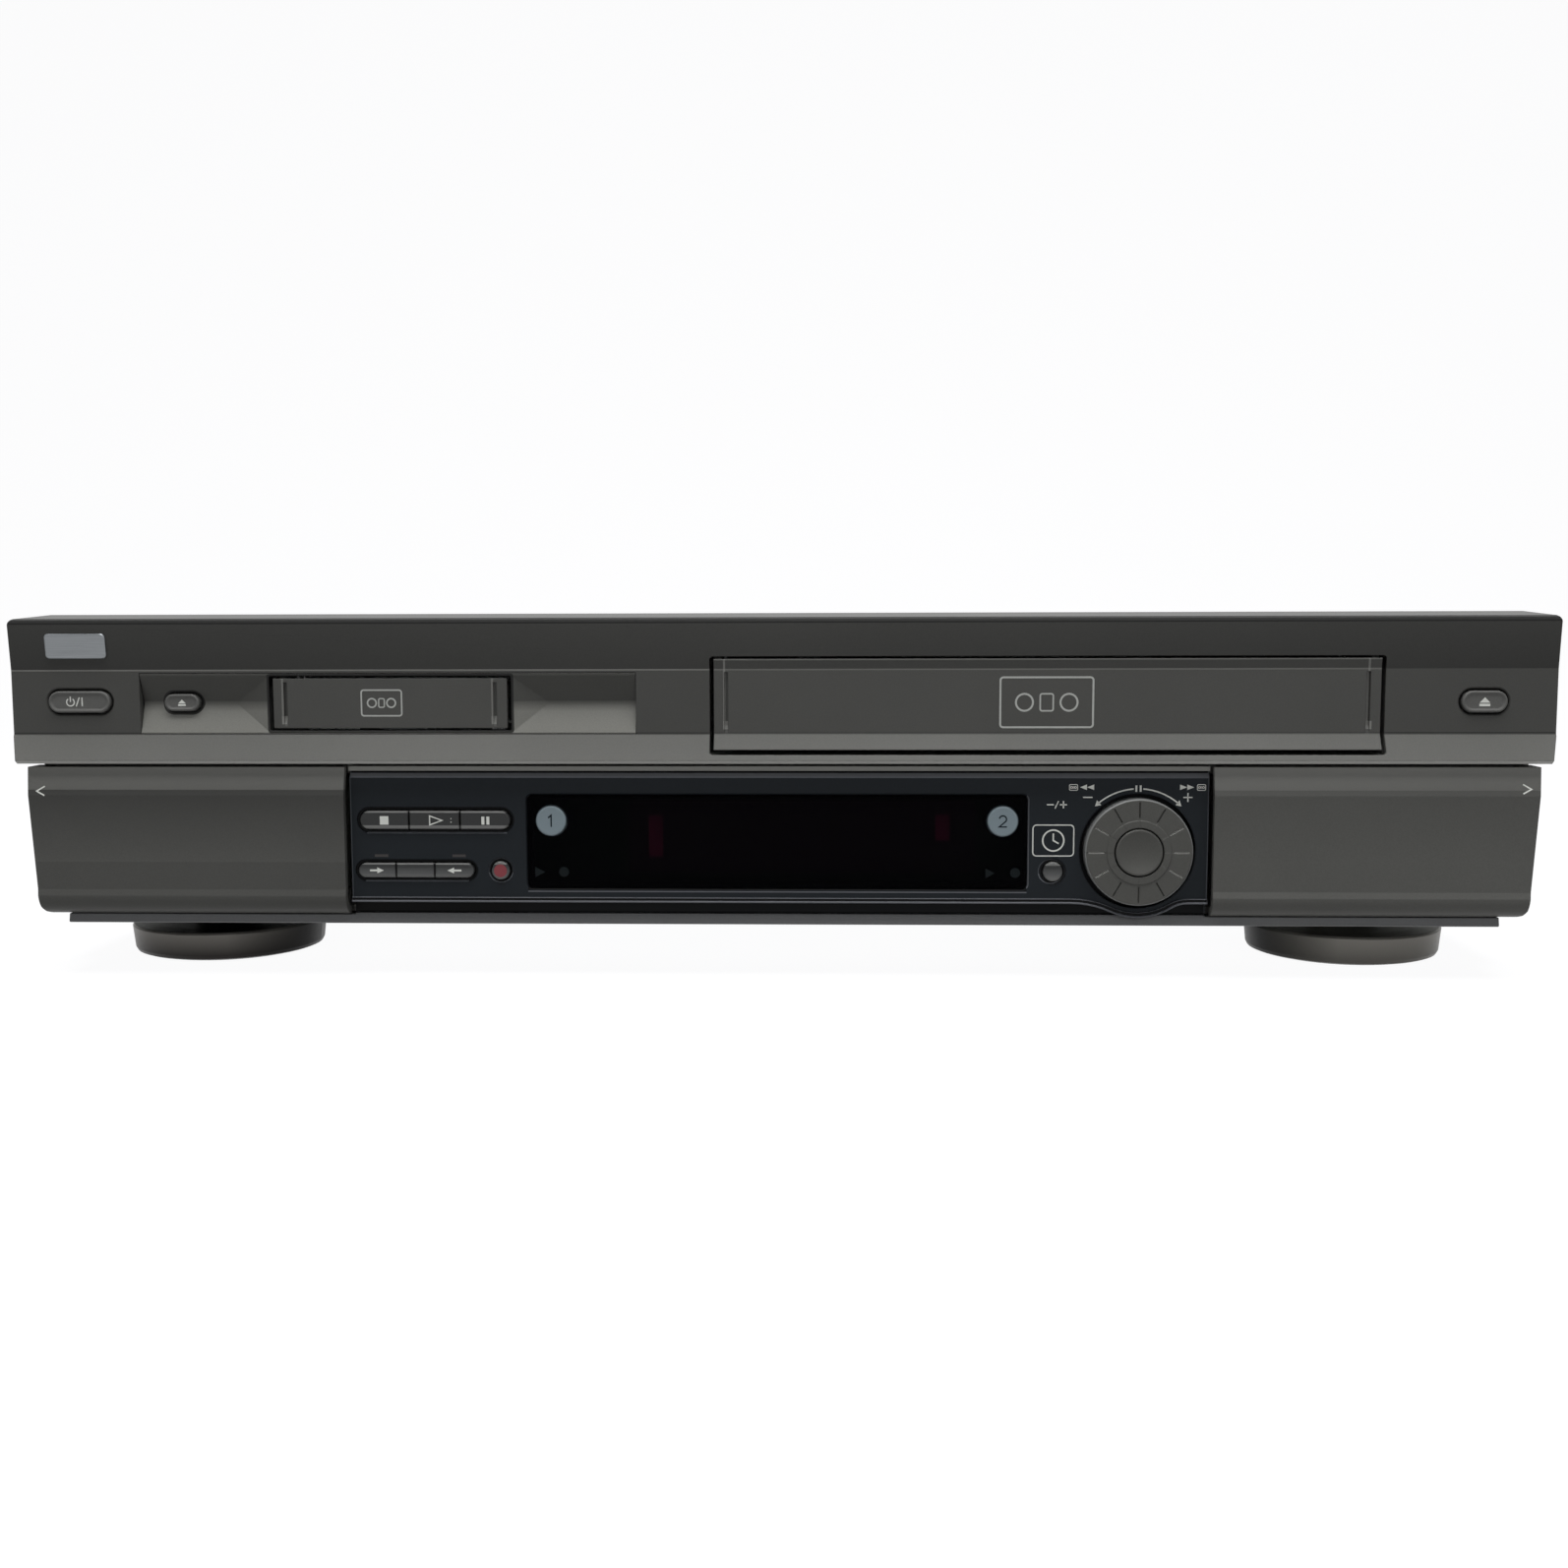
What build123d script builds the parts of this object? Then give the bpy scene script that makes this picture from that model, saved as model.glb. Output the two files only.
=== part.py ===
from build123d import *
import math
import os

# Dual cassette deck: a full-size video cassette recorder with a second, small-format slot.
# Millimetres. X runs right, Y runs back, Z runs up, the origin is on the floor under the middle.

# ---- casing ---------------------------------------------------------------------------------
left_shoulder = 77.95     # outer end to the small slot
slot_spacing = 58.7       # small slot to the large slot
right_shoulder = 49.75    # large slot to the outer end
depth = 360.0             # edge of the chin to the tips of the rear sockets
wall = 2.4                # moulded walls
sheet = 1.0               # folded steel
belly_height = 15.0       # floor to the underside of the chassis
fascia_depth = 26.0       # top band to the front edge of the cover
socket_reach = 9.6        # rear sockets stand this far out of the rear panel
cover_inset = 1.5         # sides of the cover inside the ends of the fascia
fit_gap = 0.3             # between moulded pieces of one body
run_gap = 0.05            # radial clearance of a shaft in its hole

# ---- upper fascia, from the crown down ------------------------------------------------------
crown_rise = 1.3
top_band = 15.2
middle_band = 18.9
chin_band = 8.6
band_lean = 1.5           # the top band leans back by this much at its foot
chin_reach = 2.4          # the chin stands this far before the top band
edge_round = 1.1
end_draft = 0.6           # the ends stand in by this much at the front
end_round = 1.5           # front corners of the ends
crown_corner = 2.2        # top corners of the ends
crown_run_in = 0.6        # ends at the crown inside their widest
chin_run_in = 2.8         # and at the foot of the chin

# ---- doors and the strip under them ---------------------------------------------------------
door_height = 44.55
door_top_gap = 1.1
door_end_gap = 0.9        # between a door and the display panel
door_inset = 4.8          # outer ends of the doors inside the ends of the fascia
left_door_reach = 96.3    # outer end of the left door to the display panel
right_door_reach = 94.9
door_round = 6.1          # rounded foot of the doors, about their hinge
door_taper = 2.6          # outer ends run in by this much towards the foot
door_corner = 2.4
door_slope = 8.3          # height of the upper part that leans back
door_skin = 2.2
door_stand_out = 1.5      # main face of the doors before the top band
hinge_pin_radius = 1.2
strip_height = 2.7
strip_lift = 0.75         # strip above the underside of the chassis
strip_rise = 0.45         # its middle stands higher, between the doors
strip_inset = 14.0

# ---- display panel --------------------------------------------------------------------------
panel_set_back = 2.2      # face of the display panel behind the top band
panel_thick = 3.8
panel_top_gap = 1.5       # door top to panel top
panel_foot_gap = 3.9      # door foot to panel foot
board_gap = 8.0           # back of the panel to the display board
window_end_margin = 53.0
window_foot_margin = 4.35
window_top_margin = 7.05
window_thick = 2.2

# ---- tape slots -----------------------------------------------------------------------------
vhs_slot_width = 196.4
vhs_slot_height = 28.85
vhs_slot_drop = 11.35     # front top edge down to the slot
vhs_cassette = (187.4, 103.0, 25.0)
vhs_tape_lift = 0.6       # cassette above the foot of its slot
dv_slot_width = 72.2
dv_slot_height = 16.2
dv_slot_drop = 16.9
dv_cassette = (66.0, 48.0, 12.2)
dv_tape_lift = 1.4
flap_side_gap = 1.25
flap_end_gap = 0.75
flap_thick = 2.2
flap_ear = 3.0
flap_ear_gap = 0.5
flap_pin_radius = 1.0
flap_groove = 1.1         # width and depth of the upright grooves
flap_groove_ramp = 2.5    # their foot runs out over this height
flap_groove_inset = 3.6
groove_reach_left = 38.95      # the grooved insert runs this far past the small slot
groove_reach_right = 36.95
groove_depth = 3.0
groove_ramp = 10.3        # length of the sloping cheeks beside the small flap
trim_thick = 5.6

# ---- buttons and dial -----------------------------------------------------------------------
button_travel = 0.8
button_edge = 0.5         # rounding of the keys
button_dish = 0.35
button_gap = 0.35         # running gap round a button
power_inset = 21.0        # outer end of the fascia to the middle of the button
power_lift = 9.6          # chin to the middle of the button
power_size = (18.6, 6.4)
dv_eject_offset = 26.65   # before the small slot
dv_eject_size = (10.4, 5.1)
vhs_eject_offset = 28.35  # beyond the large slot
vhs_eject_size = (13.1, 6.3)
eject_lift = 9.3
transport_splits = (3.0, 17.7, 33.0, 48.0)      # ends and splits of the upper row, from the panel's end
transport_lift = 24.6                           # above the panel's foot
transport_height = 5.5
dub_splits = (2.2, 13.5, 25.1, 36.9)            # ends and splits of the lower row
dub_lift = 9.5
dub_height = 4.3
record_offset = 44.9
record_radius = 2.7
timer_offset = 45.4       # from the panel's right end
timer_radius = 2.9
select_inset = 7.2        # from the window's ends
select_drop = 7.7         # from the window's top
select_radius = 4.5
dial_offset = 20.6        # from the panel's right end
dial_lift = 15.6          # above the panel's foot
dial_well_radius = 17.05
dial_well_depth = 4.2
bulge_radius = 19.7       # dip of the panel's foot round the dial
flare_left = 28.0
flare_right = 9.3
rim_height = 1.5          # bead along the foot of the panel
rim_stand_out = 0.8
lip_height = 0.55         # and the lip under it
lip_stand_out = 1.3
rim_edge = 0.2
seat_lip = 0.45           # bevel round the window
bulge_back = 3.0          # the well stands this far out of the back of the panel
ring_radius = 15.75
ring_bore = 7.25
ring_collar = 9.35        # raised collar round the knob
ring_hub = 8.0
ring_crest = 3.3          # crest of the ring before the panel's face
ring_seat = 12.0          # flange of the ring's hub
grip_count = 12
tick_reach = (10.2, 14.8) # grooves between the grips
tick_width = 0.5
knob_radius = 6.85
knob_thick = 2.2
knob_crest = 3.75
dish_radius = 6.3
dish_depth = 0.9
spindle_radius = 5.0

# ---- sockets and keys behind the doors, and at the rear -------------------------------------
bay_set_back = 18.0       # behind the top band
bay_drop = 17.3           # below the top of the doors
rca_radius = 4.15
din_radius = 4.7
din_depth = 5.4
din_lip = 1.8
jack_pitch = 18.0
key_size = (12.0, 5.4)
key_pitch = 28.0
inlet_size = (17.0, 9.4)
aerial_radius = 4.75
screw_hole = 1.8
standoff = 3.6            # radius of the pillars under the boards and the deck

# ---- feet -----------------------------------------------------------------------------------
front_foot_inset = 46.5
front_foot_back = 50.0    # behind the top band
front_foot_radius = 30.4
front_foot_height = 9.7
rear_foot_inset = 42.5
rear_foot_forward = 42.0  # before the rear panel
rear_foot_radius = 14.0
pad_height = 2.0

# ---- large tape deck ------------------------------------------------------------------------
deck_plate = 1.6
holder_back = 38.6        # front edge of the cassette holder behind the top band
holder_depth = 44.0
holder_play = 0.6         # round the cassette
holder_pin = 1.4
load_travel = 70.0
drop_travel = 19.5
tape_over_deck = 7.0      # lowered cassette above the deck plate
carriage_gap = 0.4
carriage_pin = 1.6
reel_pitch = 91.0
reel_radius = 21.0
drum_radius = 31.0
drum_tilt = 5.96          # degrees
drum_back = 208.0         # drum axis behind the top band
drum_lift = 5.0
drum_shaft = 5.0
lower_drum_height = 19.0
upper_drum_height = 15.0
drum_gap = 0.4
capstan_radius = 1.5
flywheel_radius = 22.0
pinch_radius = 7.0
guide_turn = 34.0         # degrees that a tape guide runs along its arc
guide_arc_radius = 88.0
guide_arc_offset = 46.0   # arc centres beside the slot's middle
guide_slot = 5.2

# ---- small tape deck ------------------------------------------------------------------------
dv_holder_back = 31.0
dv_drop = 8.0
dv_tape_over_deck = 9.4
dv_drum_radius = 10.85
dv_reel_pitch = 30.0

# ---- levels and planes that follow ----------------------------------------------------------
width = left_shoulder + dv_slot_width + slot_spacing + vhs_slot_width + right_shoulder
strip_low_z = belly_height + strip_lift
strip_top_z = strip_low_z + strip_height
door_low_z = strip_top_z + fit_gap
door_top_z = door_low_z + door_height
chin_low_z = door_top_z + door_top_gap
chin_top_z = chin_low_z + chin_band
middle_top_z = chin_top_z + middle_band
band_top_z = middle_top_z + top_band
height = band_top_z + crown_rise
floor_z = belly_height + sheet              # inside of the chassis tray

front_y = -depth / 2
band_y = front_y + chin_reach
rear_y = depth / 2 - socket_reach           # outer face of the rear panel
face_y = band_y + band_lean                 # face of the middle band
cover_y = band_y + fascia_depth             # front edge of the cover
cover_half = width / 2 - cover_inset

door_half_width = width / 2 - door_inset
hinge_z = door_low_z + door_round
hinge_y = band_y - door_stand_out - 0.4 + door_round
frame_half = door_half_width - door_skin - 0.4 - wall / 2      # middle of the lower frame's side walls
strip_half_width = width / 2 - strip_inset
strip_y = band_y + 3.2
bay_y = band_y + bay_set_back
bay_z = door_top_z - bay_drop

panel_left = left_door_reach - door_half_width
panel_right = door_half_width - right_door_reach
panel_y = band_y + panel_set_back
panel_back_y = panel_y + panel_thick
panel_top_z = door_top_z - panel_top_gap
panel_low_z = door_low_z + panel_foot_gap
board_y = panel_back_y + board_gap
cheek_left = panel_left - door_end_gap - 2.0      # inner cheeks, behind the inner ends of the doors
cheek_right = panel_right + door_end_gap + 2.0
window_left = panel_left + window_end_margin
window_right = panel_right - window_end_margin
window_low = panel_low_z + window_foot_margin
window_high = panel_top_z - window_top_margin

vhs_x = width / 2 - right_shoulder - vhs_slot_width / 2        # middle of the large slot
vhs_left, vhs_right = vhs_x - vhs_slot_width / 2, vhs_x + vhs_slot_width / 2
vhs_slot_top = band_top_z - vhs_slot_drop
vhs_slot_low = vhs_slot_top - vhs_slot_height
vhs_flap_width = vhs_slot_width - 2 * flap_side_gap
dv_x = left_shoulder + dv_slot_width / 2 - width / 2           # middle of the small slot
dv_left, dv_right = dv_x - dv_slot_width / 2, dv_x + dv_slot_width / 2
dv_slot_top = band_top_z - dv_slot_drop
dv_slot_low = dv_slot_top - dv_slot_height
dv_flap_width = dv_slot_width - 2 * flap_side_gap
groove_left = dv_left - groove_reach_left
groove_right = dv_right + groove_reach_right
vhs_pivot = (band_y + 6.2, vhs_slot_top + 4.2)                 # (y, z) of the flaps' pins
dv_pivot = (face_y + 7.8, dv_slot_top + 5.6)
flap_pivots = (
    (vhs_x, vhs_flap_width, *vhs_pivot),
    (dv_x, dv_flap_width, *dv_pivot),
)

power_at = (power_inset - width / 2, chin_top_z + power_lift)
dv_eject_at = (dv_left - dv_eject_offset, chin_top_z + eject_lift)
vhs_eject_at = (vhs_right + vhs_eject_offset, chin_top_z + eject_lift)
transport_row = tuple(panel_left + split for split in transport_splits)
transport_z = panel_low_z + transport_lift
dub_row = tuple(panel_left + split for split in dub_splits)
dub_z = panel_low_z + dub_lift
record_at = (panel_left + record_offset, dub_z)
timer_at = (panel_right - timer_offset, dub_z)
select_at = ((window_left + select_inset, window_high - select_drop),
             (window_right - select_inset, window_high - select_drop))
dial_at = (panel_right - dial_offset, panel_low_z + dial_lift)
dial_floor_y = panel_y + dial_well_depth
board_posts = ((panel_left + 14.4, panel_low_z + 16.1), (panel_left + 42.4, panel_low_z + 16.1),
               (dial_at[0] - 21.5, panel_low_z + 27.6), (window_left + 43.4, panel_low_z + 2.4),
               (window_right - 34.7, panel_low_z + 2.4))

front_din_x = 15.7 - frame_half + wall / 2
front_rca_x = tuple(front_din_x + 21.0 + jack_pitch * i for i in range(3))
key_x = tuple(cheek_right + 27.3 + key_pitch * i for i in range(2))
rear_rca = tuple((52.0 + jack_pitch * i, floor_z + lift) for i in range(3) for lift in (22.0, 40.0, 62.0))
rear_din = ((112.0, floor_z + 62.0), (112.0, floor_z + 40.0))
antenna_at = ((cover_half - 38.0, floor_z + 58.0), (cover_half - 38.0, floor_z + 28.0))
inlet_at = (38.0 - cover_half, floor_z + 26.0)
side_screws = ((cover_y + 60, floor_z + 10), (rear_y - 60, floor_z + 10))
rear_screws = tuple((x, height - 9) for x in (-150.0, 0.0, 150.0))
foot_places = tuple((side * (width / 2 - front_foot_inset), band_y + front_foot_back) for side in (-1, 1))
rear_foot_places = tuple((side * (width / 2 - rear_foot_inset), rear_y - rear_foot_forward) for side in (-1, 1))

tape_low_z = vhs_slot_low + vhs_tape_lift                      # underside of a cassette in the slot
deck_z = tape_low_z - drop_travel - tape_over_deck             # top of the deck plate
deck_half = vhs_cassette[0] / 2 + 10
deck_bosses = tuple((vhs_x + side * (deck_half - 2), y) for side in (-1, 1)
                    for y in (band_y + 46, band_y + 236))
board_z = floor_z + 6.0
board_bosses = tuple((x, y) for x in (14 - cover_half, -20.0, cover_half - 14)
                     for y in (cover_y + 14, rear_y - 26))
holder_end = band_y + holder_back + holder_depth               # rear edge of the cassette holder
drum_y = band_y + drum_back
drum_axis = (0, -math.sin(math.radians(drum_tilt)), math.cos(math.radians(drum_tilt)))
reel_y = holder_end + load_travel - vhs_cassette[1] + 46.5
capstan_at = (vhs_x + 46.0, holder_end + load_travel + 9)
pinch_pivot = (capstan_at[0] + 24.0, capstan_at[1] + 13.0)
pinch_rest = (capstan_at[0] + 15.2, capstan_at[1] - 4.6)
holder_inner = vhs_cassette[0] / 2 + holder_play
carriage_inner = holder_inner + sheet + carriage_gap
bracket_inner = carriage_inner + sheet + carriage_gap
carriage_z = vhs_slot_top - 9
carriage_y = (band_y + holder_back + 10, holder_end - 6)
holder_pin_z = tape_low_z + 5
holder_pin_y = (band_y + holder_back + 16, holder_end - 12)

dv_holder_depth = dv_cassette[1]
dv_low_z = dv_slot_low + dv_tape_lift
dv_deck_z = dv_low_z - dv_drop - dv_tape_over_deck
dv_inner = dv_cassette[0] / 2 + 0.4
dv_drum_at = (dv_x, band_y + dv_holder_back + dv_holder_depth + 20)
dv_reel_y = band_y + dv_holder_back + 20
dv_pin_z = dv_low_z + 4
dv_pin_y = (band_y + dv_holder_back + 14, band_y + dv_holder_back + 32)


# ---- small makers ---------------------------------------------------------------------------
def block(x0, x1, y0, y1, z0, z1):
    return Pos((x0 + x1) / 2, (y0 + y1) / 2, (z0 + z1) / 2) * Box(x1 - x0, y1 - y0, z1 - z0)


def post(x, y, z0, z1, radius):
    return Pos(x, y, (z0 + z1) / 2) * Cylinder(radius, z1 - z0)


def pin_y(x, z, y0, y1, radius):
    return Pos(x, (y0 + y1) / 2, z) * Rot(90, 0, 0) * Cylinder(radius, y1 - y0)


def pin_x(y, z, x0, x1, radius):
    return Pos((x0 + x1) / 2, y, z) * Rot(0, 90, 0) * Cylinder(radius, x1 - x0)


def run_back(outline, y0, y1):
    """An outline drawn in front view (x, z), run from y0 back to y1."""
    return extrude(Plane(origin=(0, y1, 0), x_dir=(1, 0, 0), z_dir=(0, -1, 0)) * outline, y1 - y0)


def run_across(outline, x0, x1):
    """A section drawn in side view (y, z), run from x0 to x1."""
    return extrude(Plane.YZ.offset(x0) * outline, x1 - x0)


def run_up(outline, z0, z1):
    """A plan outline (x, y), run from z0 up to z1."""
    return extrude(Plane.XY.offset(z0) * outline, z1 - z0)


def section(*points):
    return make_face(Polyline(*points, close=True))


def panel_outline(x0, x1, z0, z1, radius=0.0):
    shape = RectangleRounded(x1 - x0, z1 - z0, radius) if radius else Rectangle(x1 - x0, z1 - z0)
    return Pos((x0 + x1) / 2, (z0 + z1) / 2) * shape


def pill(at, size, grow=0.0):
    return Pos(*at) * SlotOverall(size[0] + 2 * grow, size[1] + 2 * grow)


def disc(at, radius):
    return Pos(*at) * Circle(radius)


def front_edges(solid):
    """The edges of a solid's foremost face."""
    return solid.faces().sort_by(Axis.Y)[0].edges()


def spun(points, at, z_axis, arc=360.0):
    """A section of (radius, height along the axis) turned about an axis at a point."""
    face = make_face(Polyline(*points, close=True))
    turned = revolve(Plane.XZ * face, Axis.Z, revolution_arc=arc)
    return Plane(origin=at, z_dir=z_axis) * turned


FRONT = (0, -1, 0)
REAR = (0, 1, 0)
UP = (0, 0, 1)


# ---- upper and lower fascia, one moulding ---------------------------------------------------
def fascia_section(inset=0.0, back=fascia_depth):
    """Side view of the fascia's upper part: crown, leaning band, flat band and chin."""
    crown = (band_y + back, height - inset)
    return section(
        crown,
        (band_y + edge_round + inset, band_top_z + 0.1 - inset),
        (band_y + edge_round * 0.3 + inset, band_top_z - edge_round * 0.25 - inset),
        (band_y + inset, band_top_z - edge_round - inset),
        (face_y + inset, middle_top_z),
        (face_y + inset, chin_top_z + inset * 0.2),
        (front_y + inset, chin_low_z + 0.9 + inset * 0.6),
        (front_y + 0.8 + inset * 0.9, chin_low_z + inset),
        (band_y + back, chin_low_z + inset),
    )


def fascia_ends(inset=0.0):
    """The fascia's front and plan outlines: ends with round corners that run in under the chin."""
    half = width / 2 - inset
    top, foot = band_top_z + 2 * inset, chin_low_z - 1       # a hollow is closed above by its own section
    right = ((half - crown_run_in, top), (half, middle_top_z), (half, chin_top_z + edge_round),
             (half - chin_run_in, foot))
    front = section(*right, *[(-x, z) for x, z in reversed(right)])
    front = fillet([v for v in front.vertices() if v.Y > top - 0.01], crown_corner)
    prism = extrude(Plane(origin=(0, front_y - 1, 0), x_dir=(1, 0, 0), z_dir=FRONT) * front,
                    fascia_depth + chin_reach + 2, dir=(0, fascia_depth, crown_rise))
    plan = [(half - end_draft, front_y), (half, cover_y), (half, cover_y + 1)]
    plan = section(*plan, *[(-x, y) for x, y in reversed(plan)])
    plan = fillet([v for v in plan.vertices() if v.Y < front_y + 0.01], end_round)
    return prism & run_up(plan, belly_height, height + 1)


def door_face_section():
    """Side view of a door's skin: sloping top, flat face, crease and the round foot."""
    top_y = band_y + 0.3
    face = band_y - door_stand_out
    crease_z = hinge_z + 1.9
    lip = math.radians(268)
    inner = door_round - door_skin
    foot = (hinge_y + door_round * math.cos(lip), hinge_z + door_round * math.sin(lip))
    foot_in = (hinge_y + inner * math.cos(lip), hinge_z + inner * math.sin(lip))
    lines = [
        Polyline(
            (hinge_y - inner, hinge_z), (face + door_skin, crease_z), (face + door_skin, door_top_z - door_slope),
            (top_y + door_skin, door_top_z), (top_y, door_top_z), (face, door_top_z - door_slope),
            (face, crease_z), (hinge_y - door_round, hinge_z),
        ),
        CenterArc((hinge_y, hinge_z), door_round, 180, 88),
        Line(foot, foot_in),
        CenterArc((hinge_y, hinge_z), inner, 180, 88),
    ]
    return make_face(lines)


def hinge_cheek(x0, x1):
    """A wall of the lower frame with the round eye that a door's pin turns in."""
    cheek = block(x0, x1, band_y + 3.4, cover_y, door_low_z, door_top_z)
    cheek -= pin_x(hinge_y, hinge_z, x0, x1, door_round + fit_gap)
    cheek += block(x0, x1, hinge_y, hinge_y + door_round + 1, hinge_z + 0.9, hinge_z + 9)
    cheek += pin_x(hinge_y, hinge_z, x0, x1, door_round - door_skin - 2 * fit_gap)
    return cheek - pin_x(hinge_y, hinge_z, x0, x1, hinge_pin_radius + run_gap)


def make_front_fascia():
    half = width / 2
    shell = run_across(fascia_section(), -half, half) & fascia_ends()
    shell -= run_across(fascia_section(wall, fascia_depth + 1), -half, half) & fascia_ends(wall)
    # lower frame: shelf under the chin, cheeks beside the door bays, trough under the doors
    shell += block(-frame_half - wall / 2, frame_half + wall / 2, panel_back_y + fit_gap, cover_y,
                   door_top_z - wall, chin_low_z + 0.2)
    shell += block(panel_left + 0.1, panel_right - 0.1, band_y + 0.9, panel_back_y + 1, panel_top_z + fit_gap,
                   door_top_z + 0.2)
    for side in (-1, 1):
        middle = side * frame_half
        shell += hinge_cheek(middle - wall / 2, middle + wall / 2)
    shell += hinge_cheek(cheek_left - wall, cheek_left)
    shell += hinge_cheek(cheek_right, cheek_right + wall)
    sill = block(-frame_half, frame_half, hinge_y + 2, cover_y, strip_top_z, hinge_z + 0.6)
    sill -= pin_x(hinge_y, hinge_z, -half, half, door_round + fit_gap)
    sill -= block(-half, half, hinge_y + door_round + 3, cover_y + 1, door_low_z + 1.6, hinge_z + 1)
    sill -= block(cheek_left, cheek_right, front_y, panel_back_y + bulge_back + fit_gap,
                  strip_top_z - 1, hinge_z + 1)
    sill -= block(cheek_left, cheek_right, front_y, cover_y + 1, door_low_z + 1.6, hinge_z + 1)
    shell += sill
    # side skins behind the doors' outer ends, out to the cover
    for side in (-1, 1):
        skin_y = cover_y - 8.0
        skin_z = (door_low_z + door_round, chin_low_z + 0.2)
        x0, x1 = sorted((side * (cover_half - wall), side * cover_half))
        shell += block(x0, x1, skin_y, cover_y, *skin_z)
        x0, x1 = sorted((side * frame_half, side * cover_half))
        shell += block(x0, x1, skin_y, skin_y + wall, *skin_z)
    # slots, button holes and the seat of the grooved insert
    shell -= run_back(panel_outline(vhs_left, vhs_right, vhs_slot_low, vhs_slot_top, 1.0), front_y - 1, cover_y + 1)
    shell -= run_back(panel_outline(groove_left, groove_right, chin_top_z, middle_top_z - 0.8),
                      front_y - 1, face_y + trim_thick)
    for at, size in ((power_at, power_size), (vhs_eject_at, vhs_eject_size)):
        shell -= run_back(pill(at, size, button_gap), front_y - 1, cover_y)
        shell -= loft([Plane(origin=(0, face_y - 0.01, 0), x_dir=(1, 0, 0), z_dir=FRONT) * pill(at, size, 1.0),
                       Plane(origin=(0, face_y + 0.7, 0), x_dir=(1, 0, 0), z_dir=FRONT)
                       * pill(at, size, button_gap)])
    # linings of both slots: a sill and two side walls from the face to the cover
    trim_back = face_y + trim_thick + fit_gap
    for left, right, sill_z, top, wall_y in ((vhs_left, vhs_right, vhs_slot_low, vhs_slot_top, face_y + 1),
                                             (dv_left, dv_right, chin_top_z - 0.2, dv_slot_top, trim_back)):
        shell += block(left - wall, right + wall, face_y + 1, cover_y, sill_z - wall, sill_z)
        for x in (left - wall, right):
            shell += block(x, x + wall, wall_y, cover_y, sill_z - 0.1, top + 1)
    # ears that carry the flaps' pins
    for middle, flap_width, axis_y, axis_z in flap_pivots:
        for side in (-1, 1):
            ear_x = middle + side * (flap_width / 2 + flap_ear_gap)
            inner, outer = sorted((ear_x, ear_x + side * flap_ear))
            ear = block(inner, outer, axis_y - 2.6, axis_y + 2.8, axis_z - 2.6, height - wall)
            shell += ear - pin_x(axis_y, axis_z, inner, outer, flap_pin_radius + run_gap)
    return shell


def make_bottom_strip():
    """The lighter rail under the doors, with a lip that hooks under the chassis tray."""
    y = strip_y
    rail = section((y + 0.5, strip_top_z), (y, strip_low_z + 0.4), (y + 0.6, strip_low_z),
                   (cover_y - fit_gap, strip_low_z), (cover_y - fit_gap, strip_low_z + 1.2),
                   (y + 3, strip_low_z + 1.2), (y + 3, strip_top_z))
    rise = block(panel_left + fit_gap, panel_right - fit_gap, y + 0.55, y + 2.5, strip_top_z - 0.5,
                 strip_top_z + strip_rise)
    return run_across(rail, -strip_half_width, strip_half_width) + rise


def make_dv_slot_trim():
    """Insert with a V groove that runs past the small flap, its cheeks ramped down into the valley."""
    x0, x1 = groove_left + fit_gap / 2, groove_right - fit_gap / 2
    z0, z1 = chin_top_z + fit_gap / 2, middle_top_z - 0.8 - fit_gap / 2
    valley_z = (z0 + z1) / 2
    body = block(x0, x1, face_y, face_y + trim_thick, z0, z1)
    groove = run_across(section((face_y - 1, z0 + 0.3), (face_y, z0 + 0.3), (face_y + groove_depth, valley_z - 0.4),
                                (face_y + groove_depth, valley_z + 0.4), (face_y, z1 - 0.7), (face_y - 1, z1 - 0.7)),
                        x0 - 1, x1 + 1)
    island = run_up(section((dv_left - groove_ramp, face_y + groove_depth), (dv_left, face_y),
                            (dv_left, face_y - 2), (dv_right, face_y - 2), (dv_right, face_y),
                            (dv_right + groove_ramp, face_y + groove_depth)),
                    z0 - 1, z1 + 1)
    body -= groove - island
    body -= run_back(panel_outline(dv_left, dv_right, dv_slot_low, dv_slot_top, 0.6), front_y, cover_y)
    body -= block(dv_left + 1, dv_right - 1, face_y + 2.5, cover_y, z0 - 1, dv_slot_low + 1)   # room for the flap's swing
    return body - run_back(pill(dv_eject_at, dv_eject_size, button_gap), front_y, cover_y)


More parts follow.
